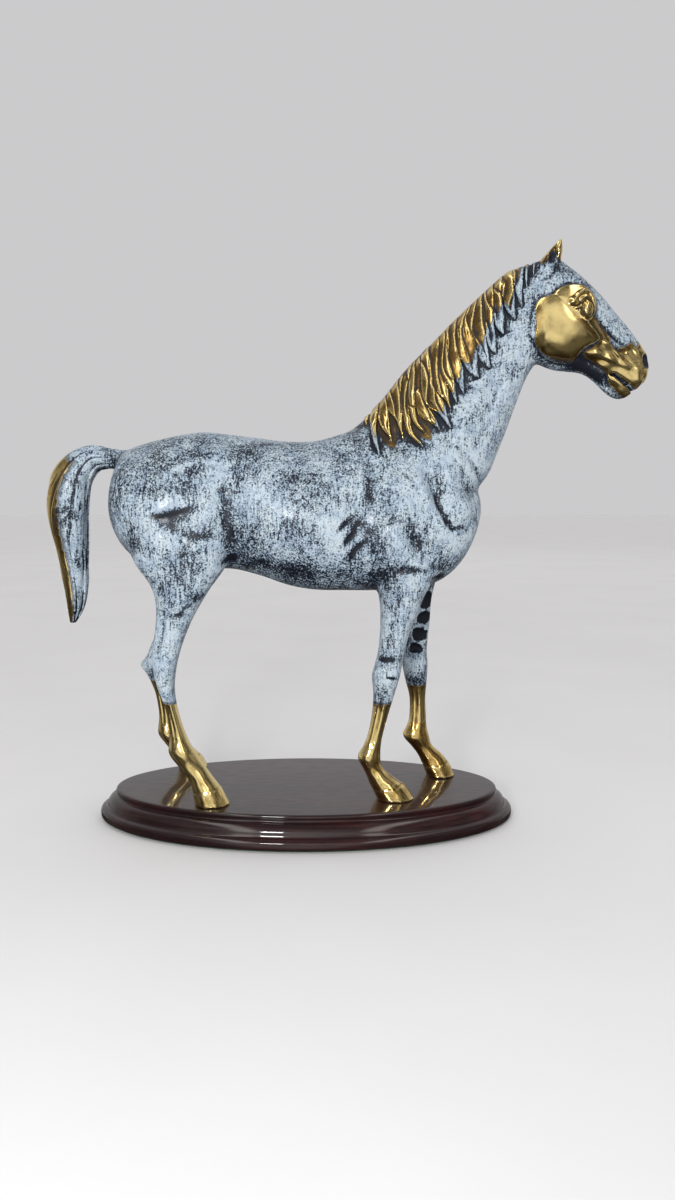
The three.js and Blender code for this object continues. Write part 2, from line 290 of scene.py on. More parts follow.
def fused(bodies):
    """One skin round all the bodies."""
    points, faces, start = [], [], 0
    for body_points, body_faces in bodies:
        points.append(body_points)
        faces += [[i + start for i in face] for face in body_faces]
        start += len(body_points)
    mesh = bpy.data.meshes.new("fused")
    mesh.from_pydata((np.vstack(points) * MM).tolist(), [], faces)
    work = bmesh.new()
    work.from_mesh(mesh)
    bmesh.ops.recalc_face_normals(work, faces=work.faces)
    work.to_mesh(mesh)
    work.free()
    obj = bpy.data.objects.new("fused", mesh)
    bpy.context.scene.collection.objects.link(obj)
    remesh = obj.modifiers.new("remesh", "REMESH")
    remesh.mode = "VOXEL"
    remesh.voxel_size = VOXEL * MM
    skin = bpy.data.meshes.new_from_object(obj.evaluated_get(bpy.context.evaluated_depsgraph_get()))
    bpy.data.objects.remove(obj)
    return skin


# ---------------------------------------------------------------- reading and moving a skin


def read_all(items, name, width=1, kind=np.float32):
    """One property of every item of a mesh, in one array."""
    values = np.empty(len(items) * width, kind)
    items.foreach_get(name, values)
    return values


class Skin:
    """A mesh whose points are held in millimetres."""

    def __init__(self, mesh):
        self.mesh = mesh
        self.read()

    def read(self):
        """Takes the points and edges from the mesh."""
        self.at = read_all(self.mesh.vertices, "co", 3).reshape(-1, 3).astype(float) / MM
        self.ends = read_all(self.mesh.edges, "vertices", 2, np.int32).reshape(-1, 2)
        self.degree = np.bincount(self.ends.ravel(), minlength=len(self.at))[:, None]

    def put(self):
        """Moves the mesh's points to where they are held."""
        self.mesh.vertices.foreach_set("co", (self.at * MM).astype(np.float32).ravel())
        self.mesh.update()

    def normals(self):
        self.put()
        return read_all(self.mesh.vertex_normals, "vector", 3).reshape(-1, 3).astype(float)

    def averages(self, values):
        """The mean of each point's neighbours."""
        a, b = self.ends.T
        columns = []
        for k in range(values.shape[1]):
            total = np.bincount(a, values[b, k], len(values)) + np.bincount(b, values[a, k], len(values))
            columns.append(total)
        return np.stack(columns, -1) / self.degree

    def relax(self, rounds, weight):
        """Draws each point towards the mean of its neighbours."""
        for _ in range(rounds):
            self.at += weight * (self.averages(self.at) - self.at)

    def fair(self, rounds, weight=1.0):
        """Smooths without shrinking: each round in is followed by a round out."""
        for _ in range(rounds):
            self.at += weight * 0.5 * (self.averages(self.at) - self.at)
            self.at -= weight * 0.52 * (self.averages(self.at) - self.at)

    def raise_by(self, height):
        """Moves each point out along its normal."""
        self.at += self.normals() * height[:, None]

    def refine(self, chosen):
        """Splits the faces whose corners are all chosen."""
        work = bmesh.new()
        self.put()
        work.from_mesh(self.mesh)
        work.verts.ensure_lookup_table()
        near = [e for e in work.edges if chosen[e.verts[0].index] and chosen[e.verts[1].index]]
        bmesh.ops.subdivide_edges(work, edges=near, cuts=1, use_grid_fill=True)
        work.to_mesh(self.mesh)
        work.free()
        self.read()


def ramp(low, high, value):
    """Eases from 0 at low to 1 at high."""
    t = np.clip((value - low) / (high - low), 0, 1)
    return t * t * (3 - 2 * t)


def along(path, x, z):
    """Distance from each point to a path, and how far along it from 0 to 1."""
    path = np.array(path, float)
    steps = np.diff(path, axis=0)
    lengths = np.hypot(*steps.T)
    starts = np.concatenate([[0], np.cumsum(lengths)])
    best = np.full(len(x), 1e9)
    where = np.zeros(len(x))
    for (px, pz), (sx, sz), length, start in zip(path, steps, lengths, starts):
        t = np.clip(((x - px) * sx + (z - pz) * sz) / length**2, 0, 1)
        gap = np.hypot(x - px - t * sx, z - pz - t * sz)
        closer = gap < best
        best = np.where(closer, gap, best)
        where = np.where(closer, (start + t * length) / starts[-1], where)
    return best, where


def depth_in(outline, x, z):
    """How far inside a closed outline each point is; negative outside."""
    loop = [*outline, outline[0]]
    gap, _ = along(loop, x, z)
    crossings = np.zeros(len(x), int)
    for (ax, az), (bx, bz) in zip(loop[:-1], loop[1:]):
        if az != bz:
            hit = ax + (z - az) / (bz - az) * (bx - ax)
            crossings += ((az > z) != (bz > z)) & (x < hit)
    return np.where(crossings % 2 == 1, gap, -gap)


def rounded_outline(points):
    """Catmull-Rom round a closed outline."""
    steps = 5
    count = len(points)
    loop = smooth_rows([points[k % count] for k in range(-1, count + 2)], steps)
    return [tuple(point) for point in loop[steps : steps * (count + 1)]]


def swell(at, wavelength, seed):
    """Soft random unevenness between about -1 and 1."""
    waves, loudness = 10, 1.6
    draw = np.random.default_rng(seed)
    total = np.zeros(len(at))
    for _ in range(waves):
        direction = draw.normal(size=3)
        direction /= np.linalg.norm(direction)
        phase = at @ direction * 2 * math.pi / wavelength / draw.uniform(0.7, 1.4)
        total += np.sin(phase + draw.uniform(0, 7))
    return total / waves * loudness


def oval_reach(x, z, cx, cz, rx, rz, turn):
    """Distance from the middle of a turned oval, 1 at its edge."""
    c, s = math.cos(math.radians(turn)), math.sin(math.radians(turn))
    u, v = (x - cx) * c + (z - cz) * s, (z - cz) * c - (x - cx) * s
    return np.hypot(u / rx, v / rz)


def dome(distance):
    """A round bump of width 1."""
    return np.clip(1 - distance**2, 0, 1) ** 1.5


def bell(distance, width):
    """A soft bump: 1 in the middle, almost nothing at twice the width."""
    return np.exp(-((distance / width) ** 2))


def tapered(where, power=0.5, rest=0.02):
    """Fades a line out towards both of its ends, down to what is left at a share of rest."""
    return np.sin(np.clip(where, rest, 1 - rest) * math.pi) ** power


def line_relief(lines, x, z):
    """The summed height of soft lines, each of them (width, height, path)."""
    total = np.zeros(len(x))
    for width, height, path in lines:
        gap, where = along(path, x, z)
        total += height * bell(gap, width) * tapered(where)
    return total


# ---------------------------------------------------------------- muscles and creases

# Swellings and hollows seen from the side, alike on both sides: x, z, radii, turn in degrees, height.
SWELLINGS = [
    (-84, 208, 30, 24, 20, 2.6),
    (-88, 176, 20, 26, -10, 2.0),
    (-56, 172, 12, 17, 15, 2.2),
    (-42, 196, 12, 26, 0, -2.6),
    (-50, 228, 14, 8, 0, 1.4),
    (60, 205, 19, 34, -18, 2.8),
    (55, 176, 11, 14, 0, 2.2),
    (88, 205, 9, 26, 12, 2.6),
    (95, 196, 8, 11, 0, 1.6),
    (30, 185, 9, 34, 0, -1.5),
    (0, 188, 30, 34, 0, 1.4),
    (58, 145, 12, 15, 10, 1.0),
    (76, 150, 10, 12, 0, 0.8),
    (96, 246, 12, 26, -28, 1.2),
    (112, 268, 7, 30, -24, -0.9),
]

# Cut lines seen from the side: the side, half width, depth (negative for a ridge) and the path.
CREASES = [
    (BOTH, 2.4, 0.8, [(-88, 192.6), (-82, 191.6), (-75.8, 192.4), (-69.9, 194.6), (-63, 196.2)]),
    (BOTH, 2.8, 0.9, [(-86, 191.4), (-81.8, 188.7), (-76, 184.3), (-73, 179)]),
    (BOTH, 2.6, 0.8, [(-66, 182.6), (-61.3, 179.5), (-56, 181), (-52.4, 185.8), (-50.6, 192)]),
    (BOTH, 1.6, -0.8, [(-80, 214), (-72.6, 220), (-63.7, 222.4), (-52, 223)]),
    (BOTH, 3.2, 1.1, [(-47, 204), (-44.5, 194.6), (-44.3, 185.8), (-41.4, 176.5), (-43, 168)]),
    (BOTH, 1.5, 1.8, [(-48.5, 161.5), (-46.4, 164), (-44, 165.8), (-40, 166.8)]),
    (BOTH, 1.8, 1.2, [(-83, 138.4), (-77.5, 134), (-71.5, 134.6), (-66.6, 139)]),
    (BOTH, 1.6, -1.6, [(79, 232.4), (87.8, 228.8), (95, 222.6), (100, 216.3), (103.4, 210)]),
    (BOTH, 1.6, 1.1, [(86, 234), (93, 229.4), (100, 222.6), (105, 214), (107, 208)]),
    (BOTH, 1.4, 1.9, [(72.6, 215), (76, 206.5), (79, 198), (83.2, 189.7), (87.4, 184.2), (92.6, 185.6),
                      (95, 192)]),
    (BOTH, 1.9, -1.2, [(67, 216), (71, 206), (74.6, 196), (79.6, 187), (85.6, 179.6)]),
    (BOTH, 2.8, 1.5, [(56.6, 186), (63.7, 178.6), (69.4, 171.6)]),
    (BOTH, 2.0, 1.4, [(54, 158.6), (59, 160.4), (64, 160.8), (70, 158.8)]),
    (BOTH, 1.8, 1.4, [(74, 153), (80, 153.4), (86.6, 155.4)]),
    (BOTH, 2.8, 1.1, [(37, 226), (37.9, 212), (38, 202), (36.4, 194), (37.6, 185), (40, 172)]),
    (BOTH, 1.4, -0.8, [(65, 216), (67.6, 211), (69.6, 205)]),
    (RIGHT, 1.3, 0.7, [(19.6, 182.4), (23, 187), (27.6, 190.8)]),
    (RIGHT, 1.3, 0.7, [(22, 174), (26, 179.4), (31, 183.4)]),
    (RIGHT, 1.3, 0.7, [(26.6, 168.4), (30, 173), (35, 177)]),
    (BOTH, 1.5, 1.0, [(122.5, 269), (125.6, 276), (130.5, 281.6)]),
    (BOTH, 2.6, 0.9, [(100, 232), (106, 246), (113, 262), (120, 276)]),
]


def side_weight(normals, at, side):
    """1 where the skin faces outward on the chosen side, 0 on its edges."""
    outward = normals[:, 1] * (side if side else np.sign(at[:, 1]))
    return ramp(0.12, 0.5, outward)


def muscles(skin):
    """The large swellings, then the creases between them."""
    normals = skin.normals()
    x, y, z = skin.at.T
    height = 0.4 * swell(skin.at, 34, 3) * ramp(120, 150, z)
    for cx, cz, rx, rz, turn, rise in SWELLINGS:
        reach = oval_reach(x, z, cx, cz, rx, rz, turn)
        height += rise * dome(reach) * side_weight(normals, skin.at, BOTH)
    skin.raise_by(height)
    height = np.zeros(len(x))
    for side, width, depth, path in CREASES:
        gap, where = along(path, x, z)
        soft = bell(gap, 1.3 * width) * tapered(where, 0.6)
        height -= 0.75 * depth * soft * side_weight(normals, skin.at, side)
    # Grooves down the middle of the chest, the buttocks and the back.
    midline = bell(y, 2.4)
    height -= 1.8 * midline * ramp(88, 98, x) * ramp(150, 160, z) * ramp(206, 196, z)
    height -= 3.4 * bell(y, 3.4) * ramp(-98, -112, x) * ramp(218, 206, z) * ramp(150, 165, z)
    height -= 0.7 * midline * ramp(-112, -96, x) * ramp(24, 4, x) * ramp(224, 232, z)
    skin.raise_by(height)


# ---------------------------------------------------------------- legs

HOOF_TOP = {"right_fore": 29.5, "left_fore": 29.5, "right_hind": 30.5, "left_hind": 29}
# The heights of the knee or hock, and of the fetlock.
JOINT_HEIGHTS = {"right_fore": (96, 46), "left_fore": (94, 46), "right_hind": (102, 51),
                 "left_hind": (94, 44)}
# The row of deep dimples inside the left forearm: x, z and radii.
FOREARM_DIMPLES = [(77, 137, 4.2, 6.2), (75.6, 126, 4.6, 4.8), (73, 115, 5.0, 4.8), (70.6, 106, 4.2, 3.6)]


def leg_shape(name):
    """The heights of a leg's rings from the sole up, with the rear, front and middle of each."""
    heights, rears, fronts, middles, _ = np.array(LEGS[name])[::-1].T
    return heights, rears, fronts, middles


def leg_line(name, share, high, low):
    """A path down a leg, at a share of the way from its front edge to its rear."""
    heights, rears, fronts, _ = leg_shape(name)
    levels = np.linspace(high, low, 8)
    rear = np.interp(levels, heights, rears)
    front = np.interp(levels, heights, fronts)
    return list(zip(front + (rear - front) * share, levels))


def dimple_reaches(at):
    """For each dimple of the forearm, the distance from its middle, about 1 at its ragged edge."""
    ragged = 0.22 * swell(at, 5, 51)
    for cx, cz, rx, rz in FOREARM_DIMPLES:
        yield oval_reach(at[:, 0], at[:, 2], cx, cz, rx, rz, -12) + ragged


def leg_relief(name, at, normals):
    """How far one leg's tendons, joints and hoof stand out from its skin."""
    x, y, z = at.T
    heights, *edges = leg_shape(name)
    rear, front, middle = (np.interp(z, heights, edge) for edge in edges)
    own = (z < 150) & (np.abs(y - middle) < 17) & (x > rear - 6) & (x < front + 6)
    joint, fetlock = JOINT_HEIGHTS[name]
    flank = ramp(0.3, 0.7, np.abs(normals[:, 1])) * own
    # Grooves beside the tendons, below the knee or hock and above it.
    lower, where = along(leg_line(name, 0.6, joint - 12, fetlock + 5), x, z)
    height = -0.8 * bell(lower, 1.1) * tapered(where, 0.5, 0) * flank
    upper, where = along(leg_line(name, 0.72, joint + 36, joint + 8), x, z)
    height -= (1.5 if "hind" in name else 0.7) * bell(upper, 2.4) * tapered(where, 1, 0) * flank
    height += 0.7 * own * bell(z - joint, 7) * ramp(0.2, 0.8, np.abs(normals[:, 1]))
    height += 0.5 * own * bell(z - fetlock, 4)
    # The coronet runs higher at the toe than at the heel.
    heel, toe = (np.interp(SOLE, heights, edge) for edge in edges[:2])
    coronet = HOOF_TOP[name] - 3.4 * (toe - x) / (toe - heel)
    height += 0.25 * ramp(coronet + 0.5, coronet - 0.4, z) * own
    height -= 0.22 * bell(z - coronet - 0.2, 0.6) * own * ramp(-0.4, 0.6, swell(at, 9, 43))
    height += 0.16 * swell(at, 9, 41) * own * ramp(66, 50, z) * ramp(20, 24, z)
    # The cleft between the heels.
    height -= 0.8 * bell(y - middle, 1.3) * ramp(0, -0.5, normals[:, 0]) * own * ramp(29, 25, z)
    return height


def legs(skin):
    """Tendons, joints, hooves and the dimples of the forearm."""
    normals = skin.normals()
    height = sum(leg_relief(name, skin.at, normals) for name in LEGS)
    inner = ramp(0.2, 0.6, -normals[:, 1]) * (skin.at[:, 1] > 3)
    for reach in dimple_reaches(skin.at):
        height += inner * (0.6 * bell(reach - 1.15, 0.16) - 2.4 * np.clip(1 - reach**2, 0, 1) ** 0.7)
    skin.raise_by(height)
    skin.at[:, 2] = np.maximum(skin.at[:, 2], SOLE + 0.02)


# ---------------------------------------------------------------- hair

# The crest of the neck, from the withers to the poll.
CREST = [(20, 240), (24, 242), (33, 249.4), (45, 261.3), (61, 281), (76, 295.5), (91, 310.5), (107, 325.5),
         (122, 338.2), (131, 341.8), (140, 345)]
# The lower end of the mane's relief, and of its polished part, by x.
MANE_END = [(30, 243), (36, 239), (44, 232), (58, 231), (70, 233), (78, 238), (85, 243), (91, 250),
            (98, 260), (104, 268), (109, 277), (113, 288), (117, 299), (121, 309), (126, 319), (131, 330),
            (136, 339)]
MANE_POLISH = [(36, 252), (42, 243), (48, 235.5), (58, 239), (66, 236), (70, 237.6), (75, 241.7),
               (78, 250.4), (84, 256), (90, 271), (93, 278), (100, 284), (104, 295), (112, 308.5),
               (116, 313.5), (121, 316.5), (124, 324), (129, 339)]
LOCK_WIDTH = 5.6


def hashed(cells, seed):
    """A steady random number from 0 to 1 for each whole number."""
    value = np.sin(cells * 127.1 + seed * 311.7) * 43758.5453
    return value - np.floor(value)


def strand(position, seed, softness=0.8):
    """Rounded ridges one unit wide, some higher than others."""
    cell = np.floor(position)
    across = 2 * (position - cell) - 1
    return (0.65 + 0.35 * hashed(cell, seed)) * np.clip(1 - across**2, 0, 1) ** softness


def mane_cover(at):
    """Drop below the crest, number of the lock, place along the crest and room above the lock's end."""
    x, _, z = at.T
    drop = np.maximum(np.interp(x, *np.array(CREST).T) - z, 0)
    sweep = 0.16 * drop - 0.0056 * drop**2 + 0.8 * np.sin(drop / 8 + x / 7) * ramp(2, 14, drop)
    root = x + sweep
    lock = root / LOCK_WIDTH + 0.45 * np.sin(root / 11) + 0.2 * np.sin(root / 3.7 + drop / 16)
    middle = (np.floor(lock) + 0.5) * LOCK_WIDTH
    uneven = 13 * (hashed(np.floor(lock), 4) - 0.5)
    end = np.interp(x + middle - root, *np.array(MANE_END).T) + uneven
    return drop, lock, root, z - end


def wedge(position, seed):
    """Overlapping strands one unit wide: each climbs slowly across and drops at its edge."""
    cell = np.floor(position)
    across = position - cell
    return (0.25 + 0.75 * hashed(cell, seed)) * np.minimum(across**0.8, (1 - across) * 7)


def mane(skin):
    """Locks that fall from the crest down the right side of the neck."""
    x, y, z = skin.at.T
    drop, lock, root, room = mane_cover(skin.at)
    cell = np.floor(lock)
    zone = (room > 0) * ramp(28, 36, x) * ramp(141, 133, x) * (z > 225) * ramp(5.0, 1.5, y)
    zone *= ramp(0.35, 0.0, skin.normals()[:, 1])
    # The locks lie side by side near the crest, and narrow to a tip.
    narrowing = np.clip(room / 19, 0.02, 1) ** 0.9
    body = np.clip(1 - ((2 * (lock - cell) - 1) / narrowing) ** 2, 0, 1) ** 0.5
    closed = 0.8 * ramp(5, 20, room)
    shape = 0.5 + 2.0 * (body + (0.8 - body) * closed) * (0.65 + 0.6 * hashed(cell, 9))
    lean = root + 1.3 * np.sin(drop / 11 + 1.7 * cell) + 1.1 * np.sin(root / 4.3)
    lean += 0.6 * np.sin(drop / 5 - root / 3)
    coarse = wedge(lean / 5.0 + 0.35 * np.sin(drop / 7 + lock) + 0.8 * hashed(cell, 6), 5)
    coarse *= 1.1 + 0.9 * ramp(-0.5, 0.4, swell(skin.at, 15, 63))
    fine = 0.2 * strand(lean / 1.3 + 0.5 * np.sin(drop / 9 + lock), 15)
    fine *= ramp(0.3, 0.8, swell(skin.at, 16, 21))
    thin = 0.12 + 0.88 * ramp(0, 9, drop)
    skin.raise_by(zone * (body > 0) * (shape + coarse + fine) * thin * ramp(0, 3, room))
    # Short roots just over the crest on the left side.
    roots = ramp(2, 4, y) * ramp(7, 4, drop) * ramp(30, 40, x) * ramp(138, 128, x) * (z > 240)
    skin.raise_by(roots * 0.4 * strand(root / 2.4, 8, 0.5))


def tail_place(at):
    """Share of the way down the tail, and the angle round it from its outer side."""
    rings = smooth_rows(TAIL, 6)
    middle = (rings[:, :2] + rings[:, 2:4]) / 2
    out = rings[:, :2] - rings[:, 2:4]
    reach = np.hypot(*out.T)
    x, y, z = at.T
    share = along(middle, x, z)[1]
    steps = np.concatenate([[0], np.cumsum(np.hypot(*np.diff(middle, axis=0).T))])
    steps /= steps[-1]
    columns = (*middle.T, *(out.T / reach), rings[:, 4], reach / 2)
    cx, cz, ux, uz, half_wide, half_deep = (np.interp(share, steps, column) for column in columns)
    offset = (x - cx) * ux + (z - cz) * uz
    return share, np.arctan2(y, offset * (half_wide / half_deep))


def tail_lock(share, angle):
    """The number of the lock at each point, counted round the tail."""
    return angle / (2 * math.pi) * 8 + 0.25 * np.sin(share * 9 + angle) + 0.6 * share


def is_tail(at):
    x, _, z = at.T
    return ((x < -117.5) & (z > 215.5)) | ((x < -124.5) & (z > 118))


def tail(skin):
    """Long wavy locks from the dock to the tip."""
    share, angle = tail_place(skin.at)
    zone = is_tail(skin.at) * ramp(0.06, 0.2, share) * ramp(1.0, 0.96, share)
    lock = tail_lock(share, angle)
    fine = strand(3.3 * lock + 0.5 * np.sin(share * 26 + angle), 6)
    fine *= ramp(-0.2, 0.6, swell(skin.at, 24, 17))
    skin.raise_by(zone * (1.5 * wedge(lock, 2) + 0.3 * fine - 0.8))


# ---------------------------------------------------------------- head

# The smooth round cheek, with a crisp step down in front.
CHEEK = rounded_outline([
    (137.6, 317.4), (134.6, 311), (133.4, 304), (133.6, 297.5), (136.4, 292), (141, 287.6), (147, 284.2),
    (153, 282.4), (159.6, 282.3), (162.4, 285), (165, 288.6), (168.6, 291.4), (172.4, 293), (174.8, 296),
    (172.6, 299.4), (167.4, 304.4), (162.6, 308.2), (158.6, 311.4), (156, 316), (152, 320.8), (145, 320.6)])
EYE = (165.9, 311.4)
# The polished patches round the eye and over the muzzle.
EYE_PATCH = rounded_outline([
    (146, 319), (149, 323.4), (155, 325.9), (162.4, 325.9), (167.3, 323.4), (170.4, 319.2), (171.6, 314.4),
    (170.8, 309.2), (164, 303), (150, 312)])
# The polished band between the cheek and the bridge of the nose.
CHEEKBONE = [(167.4, 307.6), (171.2, 303.8), (175, 299.6), (178.4, 295.4)]
MUZZLE = rounded_outline([
    (166.8, 288.4), (172, 291.6), (176, 295), (179, 296.6), (184.2, 291.8), (190, 291), (195.7, 293.9),
    (199.6, 291.6), (204, 297), (214, 290), (214, 258), (198, 259.5), (191, 264), (185, 269.4),
    (181.8, 274.6), (178, 279), (172, 283.2), (167, 285.6)])
# Lines of the face: width, height (negative for a crease) and the path.
FACE_LINES = [
    (0.9, 1.4, [(162.6, 307), (167.4, 303.2), (171.4, 299), (175.4, 294.4)]),
    (1.1, -0.9, [(170, 309.4), (173.6, 305.4), (177.4, 300.6), (180.6, 296)]),
    (1.1, 0.9, [(176, 294.4), (181, 292.6), (186, 288), (190, 283.4), (195, 280)]),
    (1.2, -0.7, [(184, 291.6), (188.6, 289), (193, 288.6)]),
    (1.4, 0.8, [(166, 288), (174, 287.4), (182, 284.6), (189, 281.6), (196, 279)]),
    (1.5, -1.1, [(160, 284.4), (165, 284.8), (172, 281.4), (180, 277.6)]),
    (1.3, -1.6, [(180, 277.4), (181.6, 272), (184, 267.6)]),
    (1.0, -0.9, [(170.6, 312), (175, 306), (180, 300), (186, 294.6), (192, 292)]),
    (1.2, 0.8, [(174, 311.4), (182, 302.4), (190, 295)]),
    (1.0, -1.0, [(150, 326.4), (156, 327.6), (163, 327)]),
    (1.3, -1.2, [(139, 329), (145, 331.4), (149, 336.4)]),
]
# Folds round the eye, measured from its middle: width, rise (negative for a crease) and the path.
EYE_FOLDS = [
    (0.9, 1.1, [(-8.4, 4.4), (-5.6, 8.4), (-2.7, 10.6), (0.8, 9.4), (2.9, 6.8), (3.9, 3.2)]),
    (0.6, 0.7, [(-4.6, 5.8), (-0.8, 7.2), (2.0, 5.6)]),
    (0.7, -1.4, [(-9.6, 2.0), (-6.6, 2.2), (-3.4, 3.4)]),
    (0.5, -0.9, [(-6.8, 0.0), (-3.4, 0.8)]),
    (0.6, 0.8, [(-3.6, -3.8), (-0.6, -5.9), (3.2, -4.6)]),
]
# The mouth, from its corner to the front of the lips.
MOUTH = [(182.6, 276.2), (186.6, 275.4), (191, 272.4), (196, 268.8), (202, 265.4)]


def face(skin):
    """The raised cheek, the lines round it, the eye, the mouth, the nostrils and the pits of the ears."""
    x, _, z = skin.at.T
    inside = np.maximum(depth_in(CHEEK, x, z), depth_in(EYE_PATCH, x, z))
    height = 1.4 * ramp(-0.6, 1.0, inside) + 1.3 * (1 - np.exp(-np.maximum(inside, 0) / 3.5))
    height += line_relief(FACE_LINES, x, z) + eye(x, z)
    height *= ramp(0.25, 0.6, np.abs(skin.normals()[:, 1])) * (x > 126)
    height += 0.4 * swell(skin.at, 7, 47) * ramp(-1, 1, depth_in(MUZZLE, x, z)) * (x > 160)
    skin.raise_by(height)
    gap, where = along(MOUTH, x, z)
    lips = bell(gap, 0.7 + 0.9 * where) * ramp(0, 0.15, where)
    skin.at[:, 1] *= 1 - 0.55 * lips * (x > 180)
    skin.at[:, 0] -= 2.6 * lips * (x > 196)
    for side in (RIGHT, LEFT):
        press_pit(skin, (205.6, side * 6.4, 283.8), (3.0, 4.0, 5.2), 3.6)
        press_pit(skin, (146.2, side * 13.6, 344.0), (3.2, 5.0, 6.0), 2.4)


def press_pit(skin, centre, radii, depth):
    """A round pit pressed into the skin."""
    reach = np.linalg.norm((skin.at - centre) / radii, axis=1)
    skin.raise_by(-depth * np.clip(1 - reach**2, 0, 1))


def eye(x, z):
    """The upright ball of the eye, its lids, and the folds of the brow and behind."""
    u, v = x - EYE[0], z - EYE[1]
    reach = np.hypot(u / 2.9, v / 4.3)
    height = 1.4 * np.clip(1 - reach**4, 0, 1) ** 0.6 - 0.6 * bell(reach - 1.3, 0.16)
    height += 1.2 * dome(np.hypot(u + 8.4, v - 4.2) / 3.2)
    return height + line_relief(EYE_FOLDS, u, v)


# ---------------------------------------------------------------- the whole horse


def sculpted():
    """The limbs fused, smoothed together and carved, with a finer skin on the hair, head and feet."""
    skin = Skin(fused(limb_tubes()))
    x, y, z = skin.at.T
    trunk = ramp(118, 150, z) * ramp(-126, -118, x) * ramp(300, 262, z)
    jaw = ramp(120, 128, x) * ramp(160, 146, x) * ramp(268, 276, z)
    skin.relax(70, (0.5 * np.maximum(trunk, 0.35 * jaw))[:, None])
    skin.fair(6)
    muscles(skin)
    legs(skin)
    skin.fair(2)
    x, y, z = skin.at.T
    hair = (mane_cover(skin.at)[3] > -3) & (x > 26) & (y < 6) & (z > 228)
    skin.refine((x > 126) & (z > 240) | is_tail(skin.at) | hair | (z < 56))
    skin.fair(3)
    face(skin)
    mane(skin)
    tail(skin)
    skin.fair(1, 0.6)
    skin.put()
    return skin


horse = sculpted()


# ---------------------------------------------------------------- polished brass, worn paint and painted shade

# How high the polish reaches up each leg.
SOCK_TOP = {"right_fore": 78.5, "left_fore": 80.5, "right_hind": 81, "left_hind": 80}
